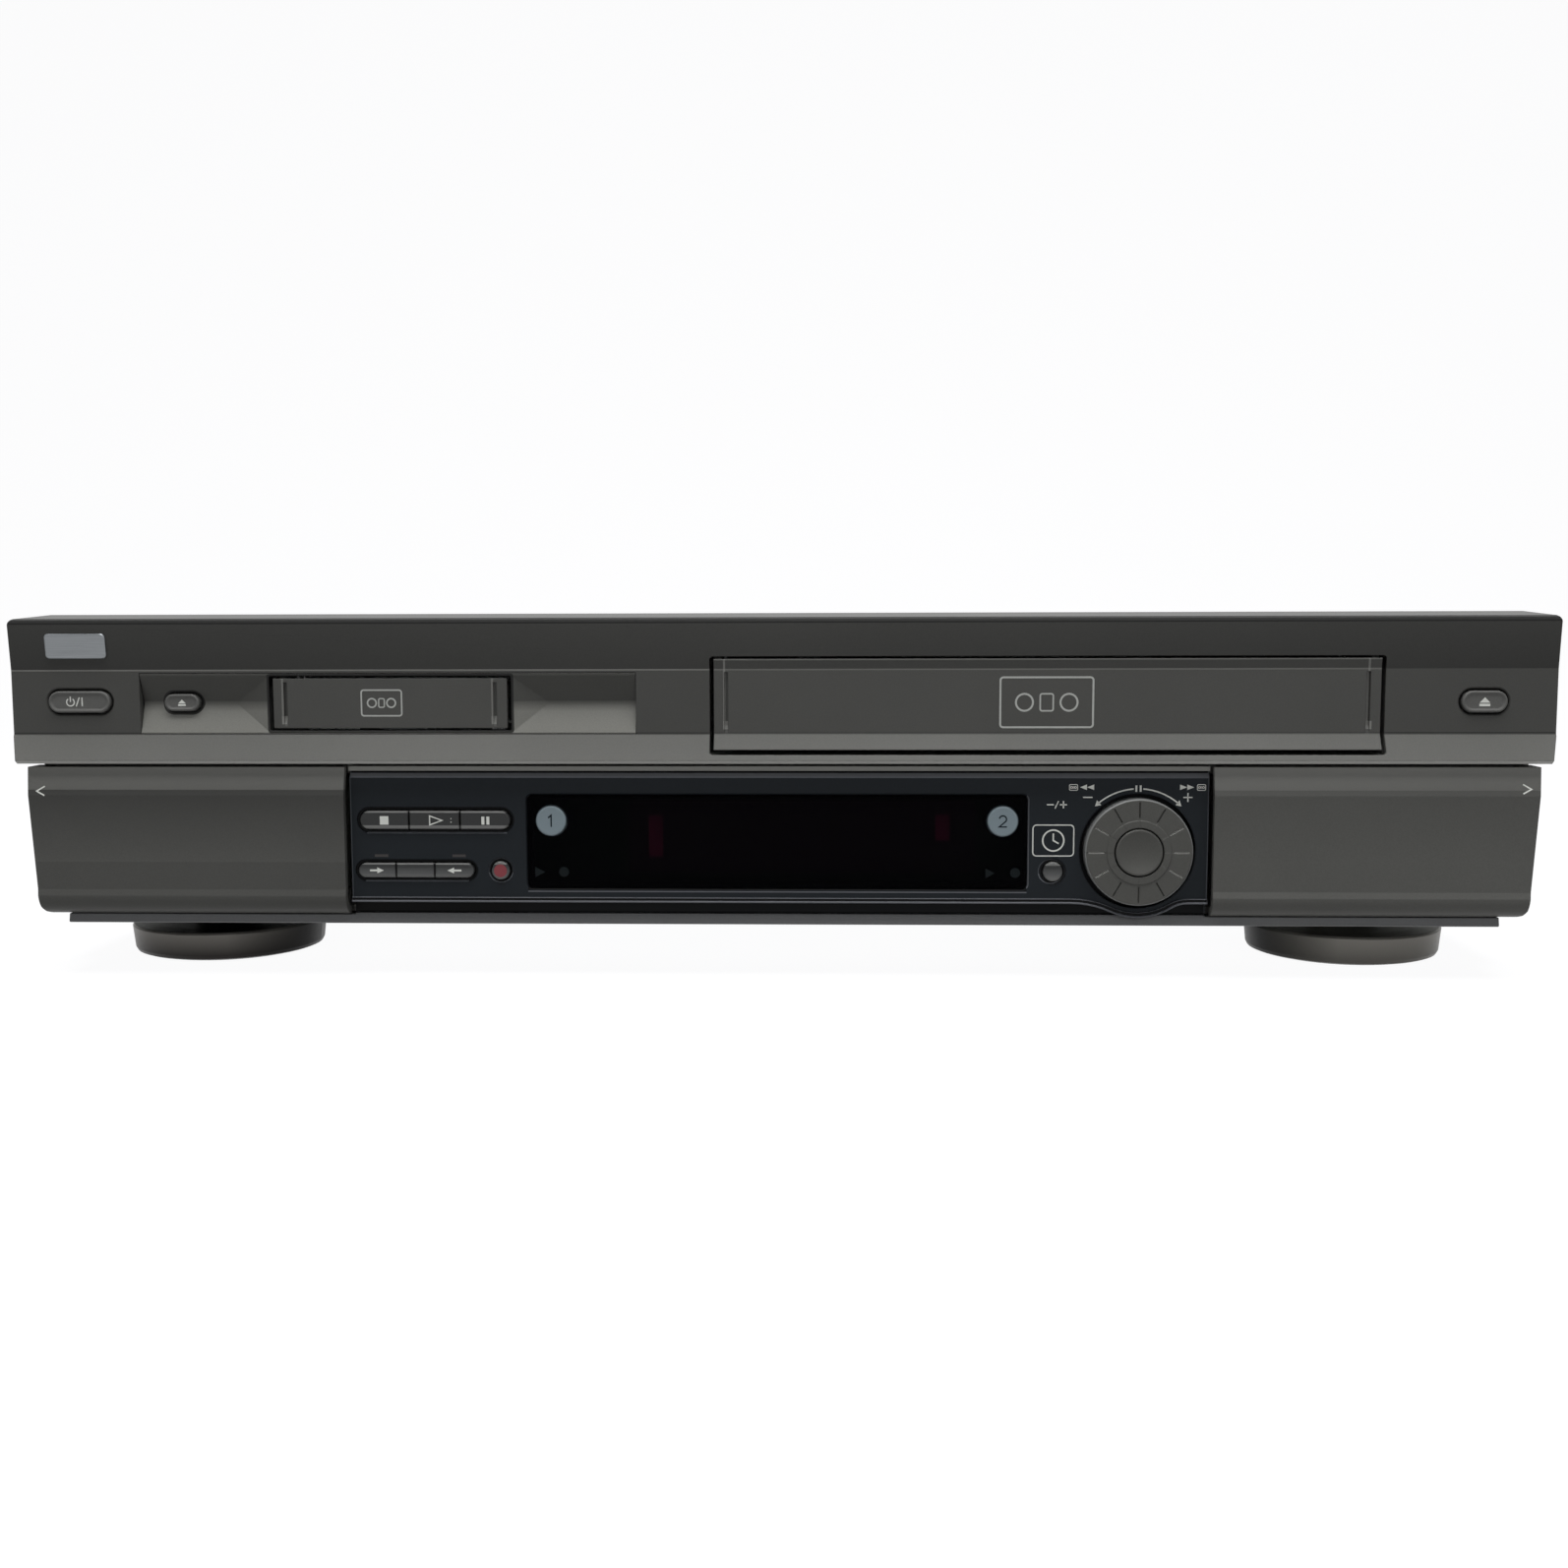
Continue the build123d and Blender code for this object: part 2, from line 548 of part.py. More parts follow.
# ---- flaps and doors ------------------------------------------------------------------------
def make_flap(middle, flap_width, high, pivot, face, groove_span):
    """A slot's flap: a skin that follows the fascia, two arms up to its pins and a stiffening rib."""
    axis_y, axis_z = pivot
    back_y = face_y + flap_thick - 0.4
    half = flap_width / 2
    flap = run_across(face, middle - half, middle + half)
    groove_top, groove_foot = groove_span
    groove = section((face_y - 1, groove_top), (face_y + flap_groove, groove_top),
                     (face_y + flap_groove, groove_foot + flap_groove_ramp), (face_y, groove_foot),
                     (face_y - 1, groove_foot))
    for side in (-1, 1):
        at = middle + side * (half - flap_groove_inset)
        flap -= run_across(groove, at - flap_groove / 2, at + flap_groove / 2)
        inner, outer = sorted((middle + side * half, middle + side * (half - 2.2)))
        arm = run_across(section((back_y, high - 2.5), (axis_y - 1.8, high - 0.5), (axis_y - 1.8, axis_z),
                                 (axis_y + 1.8, axis_z), (axis_y + 1.8, high - 1.5), (back_y, high - 6.5)),
                         inner, outer)
        arm += pin_x(axis_y, axis_z, inner, outer, 1.8)
        reach = side * (half + flap_ear_gap + flap_ear - fit_gap)
        tip0, tip1 = sorted((middle + side * (half - 1), middle + reach))
        flap += arm + pin_x(axis_y, axis_z, tip0, tip1, flap_pin_radius)
    return flap


def make_vhs_flap():
    low, high = vhs_slot_low + 2 * flap_end_gap, vhs_slot_top - flap_end_gap
    lean = band_lean / (top_band - edge_round)
    slope = (chin_reach + band_lean) / (chin_band - 0.9)
    high_y = face_y - lean * (high - middle_top_z)
    low_y = face_y - slope * (chin_top_z - low)
    face = section((high_y, high), (face_y, middle_top_z), (face_y, chin_top_z), (low_y, low),
                   (low_y + flap_thick + 0.6, low), (face_y + flap_thick, chin_top_z + 0.4),
                   (face_y + flap_thick, high))
    return make_flap(vhs_x, vhs_flap_width, high, vhs_pivot, face, (middle_top_z - 0.8, chin_top_z + 0.1))


def make_dv_flap():
    low, high = dv_slot_low + flap_end_gap, dv_slot_top - flap_end_gap
    face = section((face_y, high), (face_y, low), (face_y + flap_thick, low), (face_y + flap_thick, high))
    return make_flap(dv_x, dv_flap_width, high, dv_pivot, face, (high - 1.2, low + 0.6))


def make_door(outer_x, inner_x, cheek_outer, cheek_inner):
    """A fold-down door: skin, end walls and the two ears whose pins turn in the cheeks."""
    side = 1 if outer_x > 0 else -1
    x0, x1 = sorted((outer_x, inner_x))
    door = run_across(door_face_section(), x0, x1)
    # outer end wall, outside the frame's cheek
    end0, end1 = sorted((outer_x, outer_x - side * door_skin))
    face = band_y - door_stand_out
    end_wall = run_across(section((band_y + 2.0, door_top_z), (band_y + 8, door_top_z), (band_y + 8, hinge_z),
                                  (face + 1.0, hinge_z), (face + 1.0, door_top_z - door_slope)), end0, end1)
    door += end_wall
    # outline taken in slightly towards the foot, with a rounded outer corner
    cut_x, corner_x = outer_x + side, outer_x - side * door_taper
    trimming = section((cut_x, door_top_z), (outer_x, door_top_z), (corner_x, door_low_z + door_corner),
                       (corner_x - side * 0.3 * door_corner, door_low_z + 0.3 * door_corner),
                       (corner_x - side * door_corner, door_low_z - 0.1), (cut_x, door_low_z - 0.1))
    door -= run_back(trimming, front_y - 5, cover_y)
    for cheek, way in ((cheek_outer, side), (cheek_inner, -side)):
        near, far = sorted((cheek - way * (fit_gap + 2.4), cheek - way * fit_gap))
        ear = pin_x(hinge_y, hinge_z, near, far, door_round - 0.5)
        ear += block(near, far, face + 1, hinge_y + 1.5, hinge_z, hinge_z + 9)
        ear -= block(near, far, hinge_y, hinge_y + 9, hinge_z - 9, hinge_z)
        near, far = sorted((cheek - way * (fit_gap + 0.5), cheek + way * (wall - 0.3)))
        door += ear + pin_x(hinge_y, hinge_z, near, far, hinge_pin_radius)
    return door


# ---- centre panel, window and display -------------------------------------------------------
def panel_front():
    """Front view of the black panel, its lower edge dipping round the dial between two flares."""
    shape = panel_outline(panel_left, panel_right, panel_low_z, panel_top_z) + disc(dial_at, bulge_radius)
    for side, flare in ((-1, flare_left), (1, flare_right)):
        joins = [v for v in shape.vertices() if abs(v.Y - panel_low_z) < 0.01
                 and 1 < side * (v.X - dial_at[0]) < bulge_radius - 1]
        shape = fillet(joins, flare)
    return shape


def panel_bead(high, stand_out):
    """A bead of this height along the panel's lower edge, with bevelled edges."""
    band = panel_front() - offset(panel_front(), -high)
    band &= panel_outline(panel_left - 1, panel_right + 1, belly_height, panel_low_z + high)
    bead = run_back(band, panel_y - stand_out, panel_y + 0.5)
    return chamfer(front_edges(bead), rim_edge)


def split_row(row, z, row_height, end_grow, grow):
    """The pill that a row of buttons shares, as one outline for each button."""
    x0, x1 = row[0] - end_grow, row[-1] + end_grow
    whole = pill(((x0 + x1) / 2, z), (x1 - x0, row_height + 2 * grow))
    pieces = []
    for left, right in zip(row, row[1:]):
        near = left + 0.2 if left != row[0] else left - 5
        far = right - 0.2 if right != row[-1] else right + 5
        pieces.append(whole & panel_outline(near, far, z - 9, z + 9))
    return pieces


def row_outline(row, z, row_height, grow):
    return pill(((row[0] + row[-1]) / 2, z), (row[-1] - row[0], row_height), grow)


def make_display_panel():
    panel = run_back(panel_front(), panel_y, panel_back_y)
    # leaning top edge and the rim along the foot
    panel -= run_across(section((panel_y - 1, panel_top_z - 2), (panel_y, panel_top_z - 2),
                                (panel_y + 1.2, panel_top_z), (panel_y + 1.2, panel_top_z + 1),
                                (panel_y - 1, panel_top_z + 1)), panel_left - 1, panel_right + 1)
    panel += panel_bead(rim_height, rim_stand_out) + panel_bead(lip_height, lip_stand_out)
    panel += run_back(disc(dial_at, bulge_radius - 0.6), panel_y + 0.5, panel_back_y + bulge_back)
    # apron under the panel, set back behind the beads
    panel += block(panel_left, panel_right, panel_y + 2.8, panel_back_y, door_low_z, panel_low_z + 1)
    # window seat with a bevelled edge
    panel -= run_back(panel_outline(window_left - 0.15, window_right + 0.15, window_low - 0.15,
                                    window_high + 0.15, 1.6), front_y, panel_y + window_thick)
    bevel = [Plane(origin=(0, panel_y + back, 0), x_dir=(1, 0, 0), z_dir=FRONT) *
             panel_outline(window_left - grow, window_right + grow, window_low - grow, window_high + grow, 1.45 + grow)
             for back, grow in ((-0.01, 0.16 + seat_lip), (seat_lip, 0.15))]
    panel -= loft(bevel)
    panel -= run_back(panel_outline(window_left + 1.5, window_right - 1.5, window_low + 1.5,
                                    window_high - 1.5, 1.0), front_y, panel_back_y + 1)
    # button holes
    for row, z, size in ((transport_row, transport_z, transport_height), (dub_row, dub_z, dub_height)):
        panel -= run_back(row_outline(row, z, size, button_gap), front_y, cover_y)
        panel -= run_back(row_outline(row, z, size, 1.1), front_y, panel_y + 0.5)
    for at, radius in ((record_at, record_radius), (timer_at, timer_radius)):
        panel -= run_back(disc(at, radius + button_gap), front_y, cover_y)
        panel -= run_back(disc(at, radius + 1.0), front_y, panel_y + 0.4)
    # dial well with its bearing hole
    panel -= run_back(disc(dial_at, dial_well_radius), front_y, dial_floor_y)
    panel -= run_back(disc(dial_at, ring_hub + run_gap), front_y, cover_y)
    # posts that hold the board
    for x, z in board_posts:
        panel += pin_y(x, z, panel_back_y - 0.5, board_y, 2.6)
    # the bulge hangs in front of the strip and stays clear of it
    return panel - block(panel_left, panel_right, strip_y - fit_gap, cover_y, belly_height,
                         strip_top_z + strip_rise + 0.1)


def make_display_window():
    window = run_back(panel_outline(window_left, window_right, window_low, window_high, 1.5),
                      panel_y + 0.1, panel_y + window_thick)
    for at in select_at:
        window -= run_back(disc(at, select_radius + button_gap), front_y, cover_y)
    return window


def make_display_tube():
    """Vacuum fluorescent display: a flat glass box with its seal-off tip and two rows of leads."""
    x0, x1, z0, z1 = window_left + 29.4, window_right - 14.8, window_low + 4.0, window_high - 2.75
    tube = fillet(block(x0, x1, board_y - 6.5, board_y - 1.0, z0, z1).edges().filter_by(Axis.Y), 1.2)
    for i in range(24):
        x = x0 + 6 + i * (x1 - x0 - 12) / 23
        tube += block(x - 0.3, x + 0.3, board_y - 2.0, board_y, z0 - 1.2, z0 + 1.0)
    return tube


def make_display_board():
    """Circuit board behind the panel, with the switches that the buttons press."""
    board = block(panel_left + 3, dial_at[0] - dial_offset + 0.8, board_y, board_y + 1.6, door_low_z + 5, panel_top_z - 1)
    switches = [((a + b) / 2, transport_z) for a, b in zip(transport_row, transport_row[1:])]
    switches += [((a + b) / 2, dub_z) for a, b in zip(dub_row, dub_row[1:])]
    switches += [record_at, timer_at, *select_at]
    for x, z in switches:
        board += block(x - 2.6, x + 2.6, board_y - 3.0, board_y, z - 2.6, z + 2.6)
        board += pin_y(x, z, board_y - 3.6, board_y - 2.5, 1.4)
    return board


# ---- buttons --------------------------------------------------------------------------------
def make_button(outline, flange, front, seat, back):
    """A moulded button: softly edged cap, retaining flange behind the panel and a plunger."""
    cap = run_back(outline, front, seat)
    cap = fillet(front_edges(cap), button_edge)
    return cap + run_back(flange, seat, seat + 1.0) + back


def plunger(at, y0, y1, radius=1.8):
    return pin_y(*at, y0, y1, radius)


def row_buttons(row, z, row_height, names):
    caps = split_row(row, z, row_height, 0, 0)
    flanges = split_row(row, z, row_height, 0.9, 0.9)
    seat = panel_back_y + fit_gap
    made = {}
    for name, cap, flange, left, right in zip(names, caps, flanges, row, row[1:]):
        stem = plunger(((left + right) / 2, z), seat, board_y - 3.6 - button_travel - 0.1)
        made[name] = make_button(cap, flange, panel_y - 1.0, seat, stem)
    return made


def make_round_button(at, radius, front):
    seat = panel_back_y + fit_gap
    stem = plunger(at, seat, board_y - 3.6 - button_travel - 0.1, 1.5)
    return make_button(disc(at, radius), disc(at, radius + 0.9), front, seat, stem)


def make_fascia_button(at, size, front, seat):
    """A long key with a dished face, on a block that reaches back to its switch."""
    stem = block(at[0] - 2, at[0] + 2, seat, seat + 3, at[1] - 1.5, at[1] + 1.5)
    key = make_button(pill(at, size), pill(at, size, 0.9), front, seat, stem)
    dish = [Plane(origin=(0, front + back, 0), x_dir=(1, 0, 0), z_dir=FRONT) * pill(at, size, -inset)
            for back, inset in ((-0.01, button_edge + 0.1), (button_dish, button_edge + 0.7))]
    return key - loft(dish)


def make_select_button(at):
    """A round translucent key in the window, carried on a plunger from the board's switch."""
    seat = panel_y + window_thick + fit_gap
    stem = plunger(at, seat, board_y - 3.6 - button_travel - 0.1, 2.2)
    return make_button(disc(at, select_radius), disc(at, select_radius + 0.4), panel_y - 0.7, seat, stem)


# ---- jog dial and shuttle ring --------------------------------------------------------------
def make_shuttle_ring():
    """The outer ring, twelve grips that meet at finger grooves, on a hub that turns in the well's floor."""
    crest = dial_floor_y - panel_y + ring_crest     # hub seat to the inner edge of the face
    flange = 1.9                                    # front of the hub's flange
    centre = (dial_at[0], dial_floor_y, dial_at[1])
    step = 360 / grip_count
    grip = spun([(ring_bore, flange), (ring_bore, crest + 0.1), (ring_bore + 0.2, crest + 0.25),
                 (ring_collar, crest + 0.25), (ring_collar + 0.2, crest), (ring_radius - 0.45, crest),
                 (ring_radius, crest - 0.45), (ring_radius, fit_gap), (ring_seat, fit_gap), (ring_seat, flange)],
                (0, 0, 0), FRONT, step)
    groove = run_across(section((-crest - 0.1, -tick_width * 0.6), (-crest - 0.1, tick_width * 0.6),
                                (tick_width - crest, 0)), *tick_reach)
    for i in range(grip_count):
        grip -= Rot(0, -step * i, 0) * groove
    grips = [Pos(*centre) * Rot(0, -step * i, 0) * grip for i in range(grip_count)]
    hub = spun([(spindle_radius + run_gap, -4.0), (spindle_radius + run_gap, flange),
                (ring_seat - run_gap, flange), (ring_seat - run_gap, fit_gap), (ring_hub, fit_gap),
                (ring_hub, -4.0)], centre, FRONT)
    return [hub] + grips


def make_jog_spindle():
    """Sprung shaft of the jog knob: it slides in the ring's hub, presses a switch and carries the knob."""
    crest = dial_floor_y - panel_y + knob_crest
    head = crest - knob_thick - 0.2
    return spun([(0, -7.0), (spindle_radius, -7.0), (spindle_radius, 3.0), (knob_radius - 0.4, 3.0),
                 (knob_radius - 0.4, head), (2.0, head), (2.0, head + 0.9), (0, head + 0.9)],
                (dial_at[0], dial_floor_y, dial_at[1]), FRONT)


def make_jog_knob():
    """The dished cap in the middle, pushed in and turned with a fingertip."""
    crest = dial_floor_y - panel_y + knob_crest
    back = crest - knob_thick
    dish = [(dish_radius * i / 7, crest - dish_depth * (1 - (i / 7) ** 2)) for i in range(8)]
    return spun([(2.0 + run_gap, back), (2.0 + run_gap, back + 0.9), (0, back + 0.9),
                 *dish, (knob_radius - 0.25, crest), (knob_radius, crest - 0.25), (knob_radius, back)],
                (dial_at[0], dial_floor_y, dial_at[1]), FRONT)


# ---- bays behind the doors ------------------------------------------------------------------
def make_bay_panel(cheek_a, cheek_b, holes):
    x0, x1 = sorted((cheek_a, cheek_b))
    plate = block(x0 + fit_gap, x1 - fit_gap, bay_y, bay_y + 2.0, hinge_z + 1.6, door_top_z - wall - fit_gap)
    for hole in holes:
        plate -= run_back(hole, bay_y - 1, bay_y + 3)
    return plate


def make_setup_key(x):
    """A plain key in the right bay."""
    seat = bay_y + 2.0 + fit_gap
    stem = block(x - 2, x + 2, seat, seat + 2.6, bay_z - 1.5, bay_z + 1.5)
    return make_button(pill((x, bay_z), key_size), pill((x, bay_z), key_size, 0.9), bay_y - 1.6, seat, stem)


def rca_jack(x, z, seat, way):
    """A phono jack: shell, insulator set back in it and the flange that seats on the panel."""
    jack = spun([(0, 0), (5.4, 0), (5.4, 1.2), (rca_radius, 1.2), (rca_radius, 8.6), (3.5, 8.6), (3.5, 6.9), (0, 6.9)],
                (x, seat, z), way)
    return jack - pin_y(x, z, *sorted((seat + 0.9 * 9 * way[1], seat + 3.0 * way[1])), 1.6)


def din_socket(x, z, seat, way):
    """A small round multi-pin socket: metal shroud, and an insulator with contact holes and a key."""
    socket = spun([(0, -din_depth - 1.6), (din_radius + 0.8, -din_depth - 1.6), (din_radius + 0.8, 0), (6.6, 0),
                   (6.6, 1.2), (din_radius + 0.9, 1.2), (din_radius + 0.9, din_lip), (din_radius, din_lip),
                   (din_radius, -din_depth), (0, -din_depth)], (x, seat, z), way)
    floor = seat - din_depth * way[1]
    deep = sorted((floor - 1.0 * way[1], floor + 1.0 * way[1]))
    for dx, dz in ((-1.9, -1.2), (1.9, -1.2), (-1.9, 1.5), (1.9, 1.5)):
        socket -= pin_y(x + dx, z + dz, *deep, 0.6)
    return socket - block(x - 1.1, x + 1.1, *deep, z - 3.4, z - 2.6)


# ---- chassis, cover, rear -------------------------------------------------------------------
def make_chassis_tray():
    half = cover_half - sheet - fit_gap
    y0, y1 = cover_y + fit_gap, rear_y - sheet - fit_gap
    tray = block(-half, half, y0, y1, belly_height, floor_z)
    for side in (-1, 1):
        x0, x1 = sorted((side * half, side * (half - sheet)))
        tray += block(x0, x1, y0, y1, belly_height, floor_z + 16)
    tray += block(-half, half, y0, y0 + sheet, belly_height, floor_z + 12)
    tray += block(-half, half, y1 - sheet, y1, belly_height, floor_z + 12)
    # pressed stiffening beads and the cooling slots under the supply
    for x in (-60.0, 60.0):
        tray += run_back(panel_outline(x - 6, x + 6, floor_z - 0.2, floor_z + 2.2, 1.0), y0 + 30, y1 - 30)
    for i in range(7):
        x = 26 - cover_half + i * 11
        tray -= run_up(Pos(x, y1 - 120) * SlotOverall(46, 3.2, rotation=90), belly_height - 1, floor_z + 1)
    for y, z in side_screws:
        tray -= pin_x(y, z, -cover_half, cover_half, screw_hole)
    standoffs = [post(x, y, floor_z, board_z, standoff) for x, y in board_bosses]
    return [tray] + standoffs + [post(x, y, floor_z, deck_z - deck_plate, standoff) for x, y in deck_bosses]


def make_top_cover():
    """Folded steel cover: one sheet over the top and both sides, with cooling slots."""
    y0, y1 = cover_y, rear_y - sheet
    top_z = height - 0.9
    shell = block(-cover_half, cover_half, y0, y1, strip_low_z, top_z)
    shell = fillet(shell.edges().filter_by(Axis.Y).sort_by(Axis.Z)[2:], 2.0)
    inside = block(-cover_half + sheet, cover_half - sheet, y0 - 1, y1 + 1, strip_low_z - 1, top_z - sheet)
    shell -= fillet(inside.edges().filter_by(Axis.Y).sort_by(Axis.Z)[2:], 1.0)
    for i in range(18):
        y = rear_y - 40 - i * 9.0
        shell -= block(-cover_half - 1, cover_half + 1, y, y + 3.0, 62, 82)
    for i in range(16):
        x = 21 - cover_half + i * 9.0
        shell -= block(x, x + 3.0, rear_y - 120, rear_y - 70, top_z - 3, top_z + 1)
    for y, z in side_screws:
        shell -= pin_x(y, z, -cover_half - 1, cover_half + 1, screw_hole)
    return shell


def make_rear_panel():
    half = cover_half - sheet - fit_gap
    panel = block(-half, half, rear_y - sheet, rear_y, belly_height, height - 0.9 - sheet - fit_gap)
    holes = [disc(at, 5.0) for at in rear_rca] + [disc(at, 6.0) for at in rear_din]
    holes += [disc(at, 5.2) for at in antenna_at]
    holes += [disc(at, screw_hole) for at in rear_screws]
    holes.append(pill(inlet_at, inlet_size, 2.3))
    for hole in holes:
        panel -= run_back(hole, rear_y - 2 * sheet, rear_y + 1)
    for i in range(14):
        x = -150 + i * 8.0
        panel -= run_back(Pos(x, 62) * SlotOverall(30, 3.0, rotation=90), rear_y - 2 * sheet, rear_y + 1)
    return panel


def make_antenna_terminal(x, z):
    """Threaded aerial terminal: hexagon seat, barrel and centre contact hole."""
    seat = rear_y
    hexagon = run_back(Pos(x, z) * RegularPolygon(6.4, 6), seat, seat + 2.4)
    stem = pin_y(x, z, rear_y - 14, seat + socket_reach, aerial_radius)
    return hexagon + stem - pin_y(x, z, seat + 2.0, seat + socket_reach + 1, 2.6)


def make_mains_inlet():
    """Two-pin mains inlet: moulded socket through the rear panel, with its pins inside."""
    x, z = inlet_at
    inlet = run_back(pill(inlet_at, inlet_size, 2.0), rear_y - 16, rear_y + 1.4)
    inlet += run_back(pill(inlet_at, inlet_size, 3.6), rear_y, rear_y + 1.4)
    inlet -= run_back(pill(inlet_at, inlet_size), rear_y - 12, rear_y + 2)
    for side in (-1, 1):
        inlet += pin_y(x + side * 4.3, z, rear_y - 13, rear_y - 2, 1.15)
    return inlet


# ---- feet and screws ------------------------------------------------------------------------


def make_front_feet():
    """Wide turned discs under the front, each on a short neck."""
    rim = front_foot_radius
    return [spun([(0, belly_height), (11, belly_height), (11, front_foot_height + 1.2),
                  (rim - 5, front_foot_height + 0.2), (rim - 0.6, front_foot_height - 0.3), (rim, front_foot_height - 1),
                  (rim - 0.7, 2.0), (rim - 1.3, 0.9), (rim - 2.6, 0.4), (rim - 4, 0.4), (rim - 4, pad_height),
                  (0, pad_height)],
                 (x, y, 0), UP) for x, y in foot_places]


def make_rear_feet():
    rim = rear_foot_radius
    return [spun([(0, belly_height), (rim, belly_height), (rim - 2, pad_height + 1), (rim - 2.6, pad_height),
                  (0, pad_height)], (x, y, 0), UP) for x, y in rear_foot_places]


def make_foot_pads():
    pads = [post(x, y, 0, pad_height, front_foot_radius - 4 - fit_gap) for x, y in foot_places]
    return pads + [post(x, y, 0, pad_height, rear_foot_radius - 4) for x, y in rear_foot_places]


def make_cover_screws():
    """Pan-head screws of the cover and the rear panel."""
    profile = [(0, -6.0), (1.5, -6.0), (1.5, 0), (3.6, 0), (3.4, 0.9), (2.2, 1.4), (0, 1.4)]
    screws = []
    for y, z in side_screws:
        for side in (-1, 1):
            screws.append(spun(profile, (side * cover_half, y, z), (side, 0, 0)))
    return screws + [spun(profile, (x, rear_y, z), REAR) for x, z in rear_screws]


# ---- boards ---------------------------------------------------------------------------------
def make_main_board():
    """Main circuit board with its shields, chips and capacitors."""
    y0, y1 = cover_y + 6, rear_y - 18
    half = cover_half - 9
    board = block(-half, half, y0, y1, board_z, board_z + 1.6)
    top = board_z + 1.6
    for x, y in deck_bosses:
        board -= post(x, y, board_z - 1, top + 1, standoff + fit_gap)
    for x, y, w, d, h in ((30 - half, y0 + 70, 48, 50, 6), (-40, y0 + 80, 40, 40, 4), (20, y0 + 60, 30, 30, 3),
                          (120, y0 + 60, 50, 40, 5), (half - 17, y0 + 80, 22, 60, 9), (-60, y1 - 40, 50, 40, 9)):
        board += block(x - w / 2, x + w / 2, y - d / 2, y + d / 2, top - 0.2, top + h)
    for i in range(6):
        board += post(-100 + i * 14, y0 + 26, top - 0.2, top + 8, 4.0)
    return board


def make_power_supply():
    """Supply section: transformer, primary capacitor and a finned heat sink on the main board."""
    x, y, z = 48 - cover_half, rear_y - 90, board_z + 1.6
    unit = block(x - 20, x + 20, y - 18, y + 18, z, z + 32)
    unit += block(x - 14, x + 14, y - 24, y + 24, z + 4, z + 28)
    unit += block(x - 26, x + 46, y - 26, y + 52, z, z + 0.8)
    unit += post(x - 8, y + 38, z, z + 36, 11.0)
    for i in range(6):
        unit += block(x + 26, x + 44, y - 14 + i * 6, y - 12.4 + i * 6, z, z + 34)
    return unit + block(x + 33.4, x + 36, y - 14, y + 17.6, z, z + 34)


# ---- large tape deck ------------------------------------------------------------------------
def guide_center(side):
    """Where the arc of a tape guide's track is centred, across the drum from the guide."""
    return vhs_x - side * guide_arc_offset, drum_y + 6.0


def guide_track(side, width_, begin, end):
    """Plan outline along a guide's arc, begin and end in degrees before the track's rear end."""
    first = -begin if side > 0 else 180 + end
    return SlotArc(CenterArc(guide_center(side), guide_arc_radius, first, begin - end), width_)


def make_deck_plate():
    """Pressed deck plate with the arc tracks of the tape guides and the holes of every shaft."""
    x0, x1 = vhs_x - deck_half, vhs_x + deck_half
    low, high = deck_z - deck_plate, deck_z
    plate = block(x0, x1, band_y + 40, band_y + 250, low, high)
    plate = fillet(plate.edges().filter_by(Axis.Z), 4.0)
    for y in (band_y + 40, band_y + 250 - sheet):
        plate += block(x0 + 6, x1 - 6, y, y + sheet, low - 6, high)
    for side in (-1, 1):
        plate -= run_up(guide_track(side, guide_slot, guide_turn + 1.5, -0.5), low - 1, high + 1)
        x = vhs_x + side * reel_pitch / 2
        plate += post(x, reel_y, low, high + 3, 5.0)
        plate -= post(x, reel_y, low - 1, high + 9, 2.0 + run_gap)
    plate += post(*capstan_at, low - 9, high + 3, 5.0)
    plate -= post(*capstan_at, low - 19, high + 9, capstan_radius + run_gap)
    # inclined seat of the head drum, fixed poles, erase head, audio and control head
    seat = Plane(origin=(vhs_x, drum_y, deck_z + drum_lift), z_dir=drum_axis) * Pos(0, 0, -8) * Cylinder(24, 16)
    fixed = [seat - block(vhs_x - 60, vhs_x + 60, drum_y - 60, drum_y + 60, low - 20, high)]
    for dx, dy, tall, radius in ((-58, 168, 26, 3.0), (56, 182, 26, 2.2), (62, 192, 24, 4.6)):
        fixed.append(post(vhs_x + dx, band_y + dy, high, high + tall, radius))
    fixed.append(post(*pinch_pivot, high, high + 22, 2.0))
    fixed.append(block(vhs_x - 72, vhs_x - 62, band_y + 176, band_y + 186, high, high + 22))
    return [plate] + fixed


def make_lower_drum():
    """Fixed half of the head drum, with the rabbet that guides the tape's edge."""
    height_ = lower_drum_height
    return spun([(drum_shaft + run_gap, 0), (drum_radius, 0), (drum_radius, height_ * 0.35), (drum_radius - 0.8, height_ * 0.45),
                 (drum_radius - 0.8, height_), (drum_shaft + run_gap, height_)],
                (vhs_x, drum_y, deck_z + drum_lift), drum_axis)


def make_upper_drum():
    """Turning half of the head drum: shaft, rim grooves, four head windows and the motor's cap."""
    base = lower_drum_height + drum_gap
    drum = spun([(0, 1.0), (drum_shaft, 1.0), (drum_shaft, base), (drum_radius - 0.8, base), (drum_radius - 0.8, base + 4.0),
                 (drum_radius - 1.1, base + 4.2), (drum_radius - 1.1, base + 4.6), (drum_radius - 0.8, base + 4.8),
                 (drum_radius - 0.8, base + upper_drum_height - 1), (drum_radius - 1.8, base + upper_drum_height),
                 (20, base + upper_drum_height), (20, base + upper_drum_height + 3), (0, base + upper_drum_height + 3)],
                (0, 0, 0), UP)
    for i in range(4):
        drum -= Rot(0, 0, 45 + 90 * i) * Pos(drum_radius - 1, 0, base + 1) * Box(5, 4, 3)
    return Plane(origin=(vhs_x, drum_y, deck_z + drum_lift), z_dir=drum_axis) * drum


